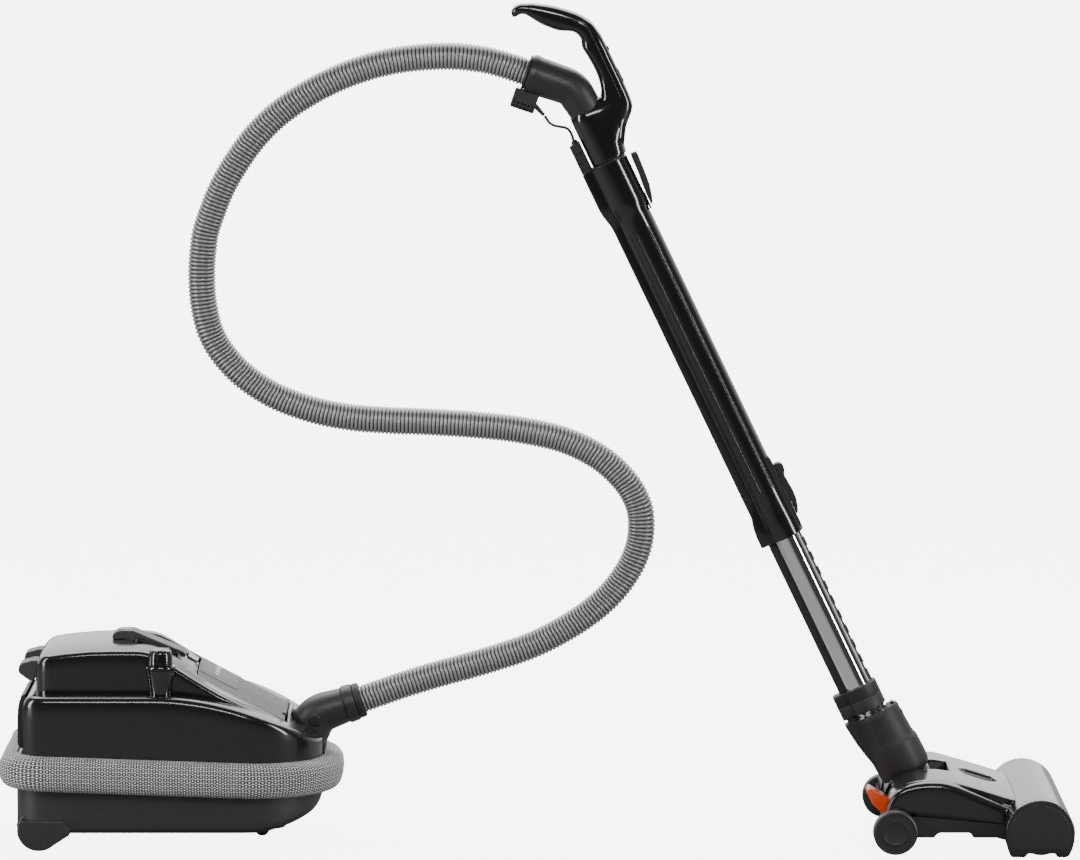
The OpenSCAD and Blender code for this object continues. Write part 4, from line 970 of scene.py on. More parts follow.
# %% Hose socket, elbow and cuff
ELBOW_BASE, ELBOW_BEND, ELBOW_END = (351.0, 134.5), (362.5, 151.0), (408.0, 166.0)
SOCKET_TILT = math.atan2(ELBOW_BEND[0] - ELBOW_BASE[0], ELBOW_BEND[1] - ELBOW_BASE[1])


def in_socket(p):
    """x down the socket's sloping face, z square to it, from the elbow's foot."""
    p = np.asarray(p, float)
    c, s = math.cos(SOCKET_TILT), math.sin(SOCKET_TILT)
    return in_canister(np.stack([ELBOW_BASE[0] + p[..., 0] * c + p[..., 2] * s, p[..., 1],
                                 ELBOW_BASE[1] - p[..., 0] * s + p[..., 2] * c], axis=-1))


make("socket_block", [prism(box_outline(-12, 27.5, -33.5, 33.5, 4), -14, -0.3, "z"),
                      prism(box_outline(-9, 24, -30, 30, 4), -0.6, 0.4, "z")], in_socket, "canister",
     ["inlet_socket"], matt, bevel=1.0)


def pipe_line(a, m, b, r, n=30):
    """Two straight legs joined by an arc of radius r."""
    a, m, b = (np.asarray(q, float) for q in (a, m, b))
    u, v = (a - m) / np.linalg.norm(a - m), (b - m) / np.linalg.norm(b - m)
    half = math.acos(float(np.clip(u @ v, -1, 1))) / 2
    cut = r / math.tan(half)
    centre = m + (u + v) / np.linalg.norm(u + v) * r / math.sin(half)
    p, q = m + u * cut, m + v * cut
    a0, a1 = math.atan2(*(p - centre)[::-1]), math.atan2(*(q - centre)[::-1])
    a1 += 2 * math.pi * round((a0 - a1) / (2 * math.pi))
    arc = [centre + r * np.array([math.cos(t), math.sin(t)]) for t in np.linspace(a0, a1, n)]
    return np.array([a] + arc + [b])


elbow_line = pipe_line(ELBOW_BASE, ELBOW_BEND, ELBOW_END, 34)
elbow_line = np.vstack([elbow_line[:1], elbow_line[:1] + (elbow_line[1] - elbow_line[0]) * 0.12,
                        elbow_line[1:-1], elbow_line[-2] + np.outer(np.linspace(0.15, 1, 14),
                                                                     elbow_line[-1] - elbow_line[-2])])
share = np.r_[0, np.cumsum(np.linalg.norm(np.diff(elbow_line, axis=0), axis=1))]
share /= share[-1]
elbow_r = np.interp(share, [0, 0.05, 0.1, 0.55, 0.80, 0.81, 0.985, 1],
                    [27.4, 27.4, 26.2, 23.2, 21.6, 23.4, 23.0, 22.2])
make("elbow_shell", [swept(elbow_line, oval(1, 1, 56) * elbow_r[:, None, None])], in_canister, "canister",
     ["hose_elbow"], satin, sharp=30)
d_shape = np.vstack([[(-7.6, -2)],
                     [(7.8 * math.cos(t), 7.8 * math.sin(t)) for t in np.linspace(math.pi, 0, 20)],
                     [(7.6, -2), (6.6, -4.8), (-6.6, -4.8)]])
d_shape = d_shape + (ELBOW_BASE[0] + 7.5, ELBOW_BASE[1] + 11)
make("elbow_release", [prism(d_shape, -28.6, -22)], in_canister, "elbow_button", ["elbow_button"],
     matt, bevel=1.0)
axis_low = np.array(ELBOW_END) - np.array(ELBOW_BEND)
axis_low /= np.linalg.norm(axis_low)
cuff_profile = [(0, 0.4), (20, 0.4), (21.6, 1.0), (21.9, 2.4), (21.4, 4.4), (21.9, 6.2), (21.0, 8.2),
                (19.4, 8.7), (15.2, 8.8), (15, 14), (0, 14)]
make("cuff_ring_low",
     [revolved(cuff_profile, (ELBOW_END[0], 0, ELBOW_END[1]), (axis_low[0], 0, axis_low[1]))], in_canister,
     "cuff_low", ["hose_cuff_low"], matt)

# %% [markdown]
# ## The wand
# The wand is two telescoping parts. The lower one is a bright chromed steel tube with a flat plastic duct for
# the cable behind it and a notched rack in front. The upper one is a glossy black moulding that wraps round
# both, so its section is a circle with a box-shaped keel. The section is worked out as one closed loop and
# lofted along the wand, so the flares at its ends grow out of it smoothly.

# %% Tube sections
TUBE_V = 4.0


def tube_loop(u, r, back, back_half, front=None, corner=2.4):
    """A circle of radius r about (4, 0) with a keel out to x = back, as a loop at height u."""
    af, ab = math.asin(4.4 / r), math.asin(back_half / r)
    front = TUBE_V + r - 0.05 if front is None else front
    a = np.linspace(af, math.pi - ab, 34)
    upper = [(front, 4.4)] + [(TUBE_V + r * math.cos(t), r * math.sin(t)) for t in a]
    for t in np.linspace(0, math.pi / 2, 5):
        upper.append((back + corner - corner * math.sin(t), back_half - corner + corner * math.cos(t)))
    loop = upper + [(x, -y) for x, y in upper[::-1]]
    return [(x, y, u) for x, y in loop]


def keel(u):
    """The keel's reach and half width: full at the wand's two ends, slim between."""
    low, high = float(ramp((400 - u) / 45)), float(ramp((u - 772) / 32))
    grip_pinch = 1.2 * math.exp(-((u - 384) / 9) ** 2)
    return -25 - 4.2 * low - 4.8 * high + grip_pinch, 10 + 2 * low + 3 * high


def barrel(u):
    return 22 + 1.4 * float(ramp((392 - u) / 34)) + 2.9 * float(ramp((u - 776) / 22))


bore = (17.45, -20.7, 7.5, 24.3, 0.5)
outer_loops = [tube_loop(345, *bore), tube_loop(345, barrel(345) - 0.9, keel(345)[0] + 0.9, 11.1)]
for u in np.r_[345.9, np.linspace(350, 405, 14), 430, 500, 600, 700, np.linspace(765, 812, 16), 830, 850.1]:
    outer_loops.append(tube_loop(u, barrel(u), *keel(u)))
outer_loops += [tube_loop(851, barrel(851) - 0.9, keel(851)[0] + 0.9, 12.1), tube_loop(851, *bore)]
outer_loops.append(outer_loops[0])
make("outer_tube_shell", [loft(outer_loops, ends=False)], in_wand, "wand_upper", ["outer_tube"],
     gloss, sharp=40)

# %% [markdown]
# Long shallow ribs run down both flanks of the black tube. They stiffen it, and they break its reflection
# into thin bright lines. The joint band at each end is a separate step.

# %% Ribs, saddle, button and catch
ribs = []
for side in (-1, 1):
    for angle, reach in ((128, 0.55), (104, 0.5), (58, 0.45)):
        t = math.radians(angle)
        x, y = TUBE_V + 22 * math.cos(t), side * 22 * math.sin(t)
        across = np.array([-math.sin(t), side * math.cos(t)])
        outwards = np.array([math.cos(t), side * math.sin(t)])
        edge = [np.array([x, y]) + across * a + outwards * b for a, b in
                ((-1.1, -0.6), (-0.9, 0.1), (-0.4, reach), (0.4, reach), (0.9, 0.1), (1.1, -0.6))]
        spine = [(405, -0.6), (412, 0), (756, 0), (764, -0.6)]
        ribs.append(loft([[(p[0] + outwards[0] * d, p[1] + outwards[1] * d, u) for p in edge]
                           for u, d in spine]))
make("tube_ribs", ribs, in_wand, "wand_upper", [], gloss, sharp=50)
saddle_side = [(22, 350), (26.2, 350), (27.4, 353), (27.5, 438), (26.4, 443), (22, 446)]
make("button_saddle", [prism(saddle_side, -11, 11)], in_wand, "wand_upper", [], matt, bevel=1.0)
button_side = [(27.8, 432), (33, 431.6), (36.8, 429.4), (38, 425.6), (37.5, 420.8), (35, 416), (34.4, 411),
               (35.1, 402), (35.8, 392), (35.4, 383), (33.4, 374.5), (30.4, 367), (28.6, 365.8), (27.8, 366)]
make("telescope_slider", [prism(button_side, -8.6, 8.6)], in_wand, "telescope_button",
     ["telescope_button"], matt, bevel=1.4)
catch_side = [(30.3, 784), (32.4, 783), (36, 792), (39, 805), (40.6, 822), (41.9, 844), (41.3, 848.4),
              (34, 849), (33.4, 842), (32.8, 826), (31.4, 812), (30.3, 797)]
make("tube_catch", [prism(catch_side, -8.8, 8.8)], in_wand, "top_catch", ["top_catch"], matt,
     bevel=1.2)
make("catch_seat", [prism([(27, 778), (29.2, 779), (29.6, 795), (29.4, 800), (27, 801)], -9.4, 9.4)], in_wand,
     "wand_upper", [], gloss, bevel=0.5)

# %% [markdown]
# ## The chrome tube
# The inner tube is drawn steel with a bright chrome finish, and a revolved ring gives it its wall. In front
# a notched rack lets the telescope lock at even steps, and behind a flat duct carries the supply. The
# collar below grips all three, so it is lofted in the outer tube's outline, which goes round them.

# %% Inner tube, rack, duct and collar
make("chrome_pipe",
     [revolved([(15.5, 90), (17, 90), (17, 600), (15.5, 600), (15.5, 90)], (TUBE_V, 0, 0), (0, 0, 1), 96)],
     in_wand, "wand_lower", ["inner_tube"], chrome)
teeth = [(20.6, 142), (23.6, 142)]
for u in np.arange(155, 570, 20.0):
    teeth += [(23.6, u), (22.2, u + 0.8), (22.2, u + 9.2), (23.6, u + 10)]
teeth += [(23.6, 596), (20.6, 596)]
make("height_rack", [prism(teeth, -3.9, 3.9)], in_wand, "wand_lower", ["rack_strip"], mid_grey)
duct_side = box_outline(-20.1, -11.5, -6.9, 6.9, 1.4, 3)
make("cable_duct",
     [prism(duct_side, 141.5, 597, "z"), prism(box_outline(-20.5, -18.5, -3.2, 3.2, 0.8, 2), 142, 596, "z")],
     in_wand, "wand_lower", ["inner_duct"], matt, bevel=0.4, segments=2)
collar_loops = []
for u, grow in ((109.4, -1.0), (110.4, 0), (124, 0), (125, -0.5), (126, 0), (139.6, 0), (140.8, -1.2)):
    collar_loops.append(tube_loop(u, 23 + grow, -30 - grow, 12 + grow))
make("collar_shell", [loft(collar_loops)], in_wand, "wand_lower", ["tube_collar"], matt,
     sharp=40)

# %% [markdown]
# ## The neck
# Between the collar and the neck a ring of bright spring clips shows. The neck itself is a stout matt
# moulding. Its front turns about the wand's axis, its back carries the cable duct down to the power head, and
# a moulded fold crosses its front where the joint below begins.

# %% Neck
def neck_radius(u):
    return float(np.interp(u, [18, 20, 26, 36, 56, 60, 66, 92, 101.6, 103],
                           [28.6, 30, 31.6, 32, 31.2, 30.6, 29.4, 27.6,
                            27.2, 26]))


def neck_loop(u, n=72):
    reach = 12 - float(np.interp(u, [30, 42, 60, 78, 103], [-16, -18.6, -24.2, -28, -31]))
    loop = []
    for t in np.arange(n) * 2 * math.pi / n:
        r = neck_radius(u)
        front = math.cos(t)
        if front > 0:
            r += 0.9 * float(ramp((61 - u) / 3)) * float(ramp((front - 0.1) / 0.4)) * float(ramp((u - 18) / 6))
        else:
            block = min(13 / max(1e-6, abs(math.sin(t))), reach / max(1e-6, -front))
            r = (r ** 14 + block ** 14) ** (1 / 14)
        loop.append((12 + r * math.cos(t), r * math.sin(t), u))
    return loop


neck_u = np.r_[18, 18.6, 20, 23, 27, 32, 38, 44, 50, 55, 57.5, 59, 60.5, 62, 66, 72, 80, 88, 95, 101, 102.6,
               103.2]
make("neck_shell", [loft([neck_loop(u) for u in neck_u])], in_wand, "wand_lower", ["neck_upper"],
     matt, sharp=60)
dots = []
for k in range(8):
    u = 97.5 - 4.4 * k
    r = neck_radius(u)
    at = np.array([-4.0 + 0.25 * k, 0, u])
    at[1] = -math.sqrt(r ** 2 - (at[0] - 12) ** 2)
    face = np.array([at[0] - 12, at[1], 0]) / r
    dots.append(revolved([(0, -0.6), (1.25, -0.6), (1.25, 0.25), (0.9, 0.32), (0, 0.32)], at, face, 16))
make("neck_dots", dots, in_wand, "wand_lower", [], gloss)
clips = []
for k, angle in enumerate((-170, -147, -122, -97, -72, -47, -22, 22, 60, 97, 135, 170)):
    t = math.radians(angle)
    x, y = TUBE_V + 21.2 * math.cos(t), 21.2 * math.sin(t)
    lean = 1.6 if k % 2 else -1.6
    clips.append(loft([[(x + lean * s + a * math.cos(t + 1.57) - b * math.cos(t),
                         y + a * math.sin(t + 1.57) - b * math.sin(t), u)
                        for a, b in ((-2.6, 0), (2.6, 0), (2.6, 2), (-2.6, 2))]
                        for u, s in ((102.8, 1), (106.4, -1), (109.8, 1))]))
make("spring_clips", clips, in_wand, "wand_lower", [], chrome, sharp=30)
make("clip_core", [revolved([(0, 102.8), (19.4, 102.8), (19.4, 109.8), (0, 109.8)], (TUBE_V, 0, 0), (0, 0, 1),
                            48),
                   prism(box_outline(-26, -12, -9, 9, 1), 102.8, 110, "z")], in_wand, "wand_lower", [],
     rubber)
make("neck_clasp",
     [prism([(32.2, 86.4), (36, 85.8), (40.6, 86.6), (40.4, 89), (38.2, 98), (35.4, 105.4), (33.8, 106.8),
             (30.8, 106.8), (31.8, 98)], -7.7, 7.7)], in_wand, "neck_catch", ["neck_catch"],
     gloss, bevel=1.0)

# %% [markdown]
# ## The joint below the neck
# The neck turns on a round drum and tilts on a cross barrel, which lets the head stay flat while the wand
# is steered. Both are turned parts, and a pin runs through the barrel.

# %% Swivel and tilt joint
swivel = [revolved([(0, 3.2), (25, 3.2), (27.4, 4.6), (28, 7), (28, 15.6), (27.2, 17.4), (26, 17.7),
                    (0, 17.7)], (12, 0, 0),
                   (0, 0, 1), 96),
          revolved([(0, -27), (22, -27), (23.6, -26.2), (24, -24.4), (24, 24.4), (23.6, 26.2), (22, 27),
                    (0, 27)], (0, 0, -7),
                   (0, 1, 0), 72),
          revolved([(0, -33.4), (5.4, -33.4), (6, -32.8), (6, 32.8), (5.4, 33.4), (0, 33.4)], (0, 0, 0),
                   (0, 1, 0), 40)]
swivel[1] = (swivel[1][0] + (0, 0, 7), True)
make("swivel_drum", swivel, in_wand, "neck_lower", ["neck_lower"], gloss)

# %% [markdown]
# ## The grip
# The grip is one long glossy moulding: a broad skirt that hugs the black tube, a bar that leans back over the
# bend of the hose, and a hook at its end for hanging it up. A bright crease runs along each side of the bar.
# The bar is lofted between its inner edge and its outer edge, and the sections are squared ovals.

# %% Grip and skirt
inner_edge = flowing([(30.5, 926), (35.3, 934.5), (38.2, 946), (39.2, 960), (38.2, 976), (36.9, 990),
                      (39.7, 1001), (35.4, 1011.5), (21, 1020), (12, 1028.2), (3.5, 1038), (-3, 1048),
                      (-7.6, 1055), (-13, 1058.2), (-19, 1058)], 90)
outer_edge = flowing([(31.4, 861), (43.5, 880.5), (52, 888.8), (58.6, 896), (62.8, 905), (64.3, 930),
                      (64.3, 985), (62.9, 1002), (60.6, 1013), (56, 1021.6), (47, 1033), (28, 1050),
                      (7, 1063.8), (-1.4, 1067.6), (-9.6, 1070.9), (-17.4, 1070), (-22.6, 1065),
                      (-23, 1059.4)], 90)
bar_loops = []
for k, (p, q) in enumerate(zip(inner_edge, outer_edge)):
    middle, half = (p + q) / 2, np.linalg.norm(q - p) / 2
    along = (q - p) / (2 * half)
    depth = 15.0 - 3.0 * float(ramp((k - 60) / 29))
    depth = min(depth, 15.0) * (1 - 0.35 * float(ramp((k - 84) / 5)))
    ring = oval(depth, half, 44, 2.7)
    bar_loops.append([(middle[0] + b * along[0], a, middle[1] + b * along[1]) for a, b in ring])
make("grip_bar", [loft(bar_loops)], in_wand, "wand_upper", ["grip"], gloss, sharp=55)

skirt_loops = []
for u in np.r_[853, 853.8, 856, 862, 870, 878, 886, 894, 902, 910, 918, 924, 927]:
    reach = float(np.interp(u, [853, 862, 871, 881, 889, 896, 905, 918, 927],
                            [30.6, 32.4, 35, 44, 51.5, 56, 58, 56, 50]))
    top_cut = float(ramp((u - 914) / 13))
    loop = []
    for t in np.arange(64) * 2 * math.pi / 64:
        c, s = math.cos(t), math.sin(t)
        r = 21.0 - 9.0 * top_cut ** 2 - (0.9 if u < 853.5 else 0)
        x, y = 7 + r * c, r * s
        if c > 0:
            stretch = (reach - 28) * float(ramp(c / 0.75))
            x += stretch
            y *= 1 - 0.32 * float(ramp(c / 0.9)) * float(ramp((stretch - 2) / 20))
        loop.append((x, y, u))
    skirt_loops.append(loop)
make("grip_skirt", [loft(skirt_loops)], in_wand, "wand_upper", ["handle_tube"], gloss, sharp=55)
creases = []
crease_line = flowing([(-2, 1061), (24, 1041), (44, 1023.6), (52.6, 1012.6), (53.8, 985), (53.6, 950),
                       (53, 916)], 60)
for side in (-1, 1):
    edge = np.array([(side * a, b) for a, b in ((13.2, -1.0), (14.9, -0.7), (15.35, 0), (14.9, 0.7),
                                                (13.2, 1.0))])
    creases.append(swept(crease_line, edge))
make("grip_crease", creases, in_wand, "wand_upper", [], satin, sharp=60)
make("airflow_key",
     [prism([(57.6, 994), (62.2, 992), (63, 980), (65.6, 978), (66, 974), (63, 972), (63, 952), (60.2, 950.4),
             (57.6, 951)], -4.3, 4.3)],
     in_wand, "airflow_slide", ["airflow_slide"], matt, bevel=0.8)
make("key_track", [prism([(63.6, 930), (65.0, 932), (65.0, 948), (63.6, 950)], -6.5, 6.5)], in_wand,
     "wand_upper", [], satin, bevel=0.5)
make("tube_neck_ring",
     [revolved([(18, 846), (22.4, 846), (22.8, 848), (22.8, 852.2), (22.2, 853), (18, 853)], (5, 0, 0),
               (0, 0, 1), 72)], in_wand, "wand_upper", [], satin)

# %% [markdown]
# ## The handle's elbow
# The upper elbow is the same kind of moulding as the one at the socket, and it is made in the same way. Two
# seams run along it where the mould's halves meet. Beside it hangs a grey cable block with a grille of
# small holes on each side, in line with the hose.

# %% Handle elbow, cuff and cable
top_line = pipe_line((8.5, 917), (5, 951), (-35, 990), 30)
leg = np.linspace(0, 1, 14)[1:, None]
top_line = np.vstack([top_line[:-1], top_line[-2] + leg * (top_line[-1] - top_line[-2])])
share = np.r_[0, np.cumsum(np.linalg.norm(np.diff(top_line, axis=0), axis=1))]
share /= share[-1]
top_r = np.interp(share, [0, 0.06, 0.3, 0.62, 0.90, 0.905, 0.985, 1],
                  [20.6, 21.6, 22.2, 23.0, 23.6, 24.4, 24.2, 23.2])
make("top_elbow_shell", [swept(top_line, oval(1, 1, 64) * top_r[:, None, None])], in_wand, "wand_upper",
     ["handle_elbow"], satin, sharp=30)
hose_way = np.array([-35.0, 990.0]) - np.array([5.0, 951.0])
hose_way /= np.linalg.norm(hose_way)
turn_at = np.array([-35.0, 990.0]) + 0.4 * hose_way
make("cuff_ring_top",
     [revolved([(0, 0), (20.6, 0), (21.8, 0.6), (22, 1.8), (21.4, 3), (15.2, 3.2), (15, 9), (0, 9)],
               (turn_at[0], 0, turn_at[1]), (hose_way[0], 0, hose_way[1]))],
     in_wand, "cuff_top", ["hose_cuff_top"], matt)
seam_strips = []
for side in (-1, 1):
    strip = []
    for k in range(6, len(top_line) - 4):
        r = top_r[k]
        t = math.radians(-22)
        edge = [(side * (r + d) * math.cos(t + w), (r + d) * math.sin(t + w)) for d, w in
                ((-0.5, -0.03), (0.3, -0.02), (0.3, 0.02), (-0.5, 0.03))]
        strip.append(edge)
    seam_strips.append(swept(top_line[6:len(top_line) - 4], strip))
make("elbow_seams", seam_strips, in_wand, "wand_upper", [], matt, sharp=60)


def in_block(p):
    """The cable block lies in line with the hose: x across it, z along it, from its middle."""
    p = np.asarray(p, float)
    c, s = -hose_way[0], hose_way[1]
    return in_wand(np.stack([-55 + p[..., 0] * s - p[..., 2] * c, p[..., 1],
                             961 + p[..., 0] * c + p[..., 2] * s],
                            axis=-1))


make("cable_clip", [prism(box_outline(-10, 13.4, -15, 15, 1.6, 3), -9, 9)], in_block, "wand_upper",
     ["cable_block"], matt, bevel=0.9)
holes = []
for row, x in enumerate((-7.2, -2.6)):
    for k in range(6):
        z = -11 + 4.4 * k
        holes.append(prism(box_outline(x - 1.3, x + 1.3, z - 1.1, z + 1.1, 0.5, 2), -9.35, -8.2))
        holes.append(prism(box_outline(x - 1.3, x + 1.3, z - 1.1, z + 1.1, 0.5, 2), 8.2, 9.35))
make("clip_grille", holes, in_block, "wand_upper", [], gloss)
sleeve_way = np.array([5.0, 0, -16.0]) / math.hypot(5, 16)
sleeve = []
for k in range(5):
    h = 3.2 * k
    sleeve += [(3.4 - 0.22 * k, h), (3.4 - 0.22 * k, h + 1.9), (2.7 - 0.2 * k, h + 2.1),
               (2.7 - 0.2 * k, h + 3.0)]
make("clip_sleeve", [revolved([(0, 0)] + sleeve + [(0, 16.2)], (-45, 0, 951), sleeve_way, 32)], in_wand,
     "wand_upper", [], rubber)
plug_grids = []
for low, high, half in ((851.4, 863, 6.8), (863.4, 876, 6.3), (876.4, 888, 6.8)):
    plug_grids.append(prism(box_outline(-29.4, -15.6, -half, half, 1.6, 3), low, high, "z"))
plug_grids.append(prism(box_outline(-28.4, -16.6, -5.6, 5.6, 1.2, 2), 852, 888, "z"))
plug_grids.append(revolved([(0, 887), (5.8, 887), (5.6, 889), (4.0, 889.4), (4.2, 891), (3.5, 891.4),
                            (3.4, 893), (0, 893)],
                           (-21, 0, 0), (0, 0, 1), 32))
make("lead_plug", plug_grids, in_wand, "wand_upper", ["wand_plug"], matt, bevel=0.8, segments=2)

# %% [markdown]
# ## The power head
# The head's cover is a broad plate, highest behind the dial and falling to the roller hood. Its flanks step
# down to lower shoulders, so a dark wedge opens between plate and shoulder towards the front. The roller
# hood is a big half cylinder with flat end caps that stand on short feet.

# %% Head cover
def plate_z(x):
    """Height of the cover's plate along its middle."""
    knots = np.array([(425, 50), (427, 60), (431, 70), (438, 78), (448, 83.4), (460, 86.6), (474, 88.2),
                      (490, 88), (506, 85.6), (530, 78.6), (552, 72), (570, 66.4), (586, 62)])
    return float(np.interp(x, knots[:, 0], knots[:, 1]))


def cover_section(x):
    """Near half of one cross-section, from the wall's foot to the middle."""
    foot = float(np.interp(x, [425, 462, 557, 586], [44, 44, 35.4, 33.5]))
    crest = plate_z(x)
    step = 11.0 * max(0.0, (x - 498) / 88)
    shoulder = max(foot + 1.0, crest - 2.6 - step)
    r = min(8.5, 0.8 * (shoulder - foot))
    half = []
    for s in np.linspace(0, 1, 5):
        half.append((118.8 - 0.8 * s, foot + s * (shoulder - r - foot)))
    for t in np.linspace(0, math.pi / 2, 7)[1:]:
        half.append((118 - r * (1 - math.cos(t)), shoulder - r + r * math.sin(t)))
    half += [(106.5, shoulder + 0.25), (103.5, shoulder + 0.3), (103, shoulder + 0.6)]
    top = crest - 2.0
    half += [(102.6, max(shoulder + 0.7, top - 1.4)), (101.6, max(shoulder + 0.8, top - 0.3)),
             (100, max(shoulder + 0.9, top))]
    for y in np.r_[92, 84, 76, 66, 56, 46, 38, 34.5, 30, np.arange(26.4, 0, -1.2)]:
        half.append((y, crest - 2.0 * (y / 100) ** 2))
    return half


cover_x = np.r_[425, 425.6, 427, 429, 431, 434, 438, 443, 448, 454, 460, 467, 474, 482, 490, 498, 506, 511,
                np.arange(515.6, 569, 1.2), 572, 576, 580, 584]
DIAL_AT, DIAL_FALL = (542.0, 74.3), math.atan2(85.5 - 64, 576 - 505)
rows = []
for x in cover_x:
    half = cover_section(x)
    row = np.array([(x, -y, z) for y, z in half] + [(x, 0.0, half[-1][1])] + [(x, y, z)
                                                                               for y, z in half[::-1]])
    rows.append(row)
cover = np.array(rows)
dx = (cover[..., 0] - DIAL_AT[0]) / math.cos(DIAL_FALL)
from_dial = np.hypot(dx, cover[..., 1])
cover[..., 2] -= 4.6 * ramp((24.6 - from_dial) / 1.8) * (cover[..., 2] > 55)


def cover_keeps(c):
    notch = (c[:, 0] < 506) & (np.abs(c[:, 1]) < 34.5)
    inside_hood = np.hypot(c[:, 0] - 608, c[:, 2] - 28) < 40.6
    pedal_gap = (c[:, 0] < 434) & (c[:, 1] > -80) & (c[:, 1] < -40)
    return ~(notch | inside_hood | pedal_gap)


make("cover_shell", [(cover, False)], in_row, "foot", ["head_cover"], case_gloss, sharp=38,
     thick=2.2, keep=cover_keeps)
well = []
for side in (-1, 1):
    xs = np.r_[427, 431, 438, 448, 460, 474, 490, 506]
    well.append((np.array([[(x, side * 34.6, z) for z in np.linspace(plate_z(x) - 0.6, 34, 4)] for x in xs]),
                 False))
well.append((np.array([[(506, y, z) for z in np.linspace(plate_z(506) - 0.4, 34, 4)]
                        for y in np.linspace(-34.6, 34.6, 9)]), False))
make("neck_well", well, in_row, "foot", [], matt, thick=-1.0)
lug_low = plate_z(573) - 13.6
for hand, side in (("near", -1), ("far", 1)):
    low, high = sorted((side * 103.2, side * 109.5))
    make("cover_lug_" + hand,
         [prism([(565, lug_low), (566, lug_low + 5.6), (578, lug_low + 2.8), (580, lug_low - 2.4)], low,
                high)], in_row, "foot", [], panel_grey, bevel=0.5, segments=2)

# %% [markdown]
# ## The power head's lower body
# The brush roller runs in a long round hood, closed by a glossy cap at each end with a satin disc on it.
# These are plates and one long profile: every cut across the hood is the same, so one outline is enough.

# %% Lower body, hood and end caps
skirt_side = [(424.5, 44.5), (424.5, 30), (428, 26.6), (449, 18.4), (452, 18), (480, 18), (483, 19),
              (487, 23), (490, 24), (524, 24), (527, 23), (530.4, 18.6), (533, 18), (558, 18), (566, 15.8),
              (572, 17), (575, 28), (577, 38), (560, 41)]
for hand, side in (("near", -1), ("far", 1)):
    low, high = sorted((side * 116.6, side * 118.5))
    make("body_side_" + hand, [prism(skirt_side, low, high)], in_row, "foot", [], satin,
         bevel=0.5, segments=2)
HOOD_AT, HOOD_R = (608.0, 28.0), 42.0
a = np.radians(np.linspace(-19.4, 199.4, 90))
hood_side = np.vstack([np.stack([HOOD_AT[0] + r * np.cos(q), HOOD_AT[1] + r * np.sin(q)], axis=-1)
                       for r, q in ((HOOD_R, a), (39.0, a[::-1]))])
make("roller_cover", [prism(hood_side, -139.2, 139.2)], in_row, "foot", ["roller_hood"],
     case_gloss, sharp=30)
a = np.radians(np.linspace(6, 174, 60))
cap_top = np.stack([HOOD_AT[0] + HOOD_R * np.cos(a), HOOD_AT[1] + HOOD_R * np.sin(a)], axis=-1)
cap_side = np.vstack([cap_top, [(566.4, 26), (567.2, 17), (569.4, 9), (572, 2.6), (574, 0.5), (588.6, 0.3),
                                (590.6, 1), (592.4, 4), (594.6, 5), (599, 4.6), (604, 3.2), (609, 2.8),
                                (614, 3.2), (619, 4.6), (624, 5.2), (626.2, 4.6), (628, 1.4), (629.6, 0.4),
                                (640.4, 0.4), (643.6, 3.4), (647, 11), (649.2, 20), (649.8, 28)]])
a = np.radians(np.linspace(-30, 210, 70))
disc_side = softened(np.stack([HOOD_AT[0] + 36.4 * np.cos(a), HOOD_AT[1] + 36.4 * np.sin(a)], axis=-1), 1)
for hand, side in (("near", -1), ("far", 1)):
    low, high = sorted((side * 139.1, side * 154.2))
    make("end_cap_" + hand, [prism(cap_side, low, high)], in_row, "foot", [], case_gloss,
         bevel=1.8, segments=4, sharp=30)
    low, high = sorted((side * 152, side * 154.95))
    make("end_disc_" + hand, [prism(disc_side, low, high)], in_row, "foot", [], satin,
         bevel=0.6, segments=2, sharp=30)

# %% [markdown]
# ## Wheels, dial and release pedal
# The head's wheels are turned, with shallow rings on their faces. The height dial lies in a round dish on
# the sloping cover, so it is built flat in a frame of its own and then tipped to the cover's slope. The
# orange pedal is one side outline made wide, with four ribs for grip.

# %% Wheels, dial and pedal
for hand, side in (("near", -1), ("far", 1)):
    hub = [(0, 120), (24.4, 120), (26.4, 121.2), (27, 123.4), (27, 135.4), (26.2, 138), (24.6, 139),
           (23.8, 138.8), (23.2, 137.9), (16.4, 137.6), (15.8, 138.5), (14.8, 138.7), (14.2, 137.7),
           (13.6, 137.4), (0, 137.4)]
    make("foot_wheel_" + hand, [revolved(hub, (435, 0, 27), (0, side, 0), 96)], in_row, "foot_wheel_" + hand,
         ["head_wheel_" + hand], satin)


def on_dial(p):
    """The dial's own frame: z square to the sloping cover, from the middle of the dish's rim."""
    p = np.asarray(p, float)
    c, s = math.cos(DIAL_FALL), math.sin(DIAL_FALL)
    return np.stack([DIAL_AT[0] + p[..., 0] * c + p[..., 2] * s, p[..., 1],
                     DIAL_AT[1] - p[..., 0] * s + p[..., 2] * c], axis=-1)


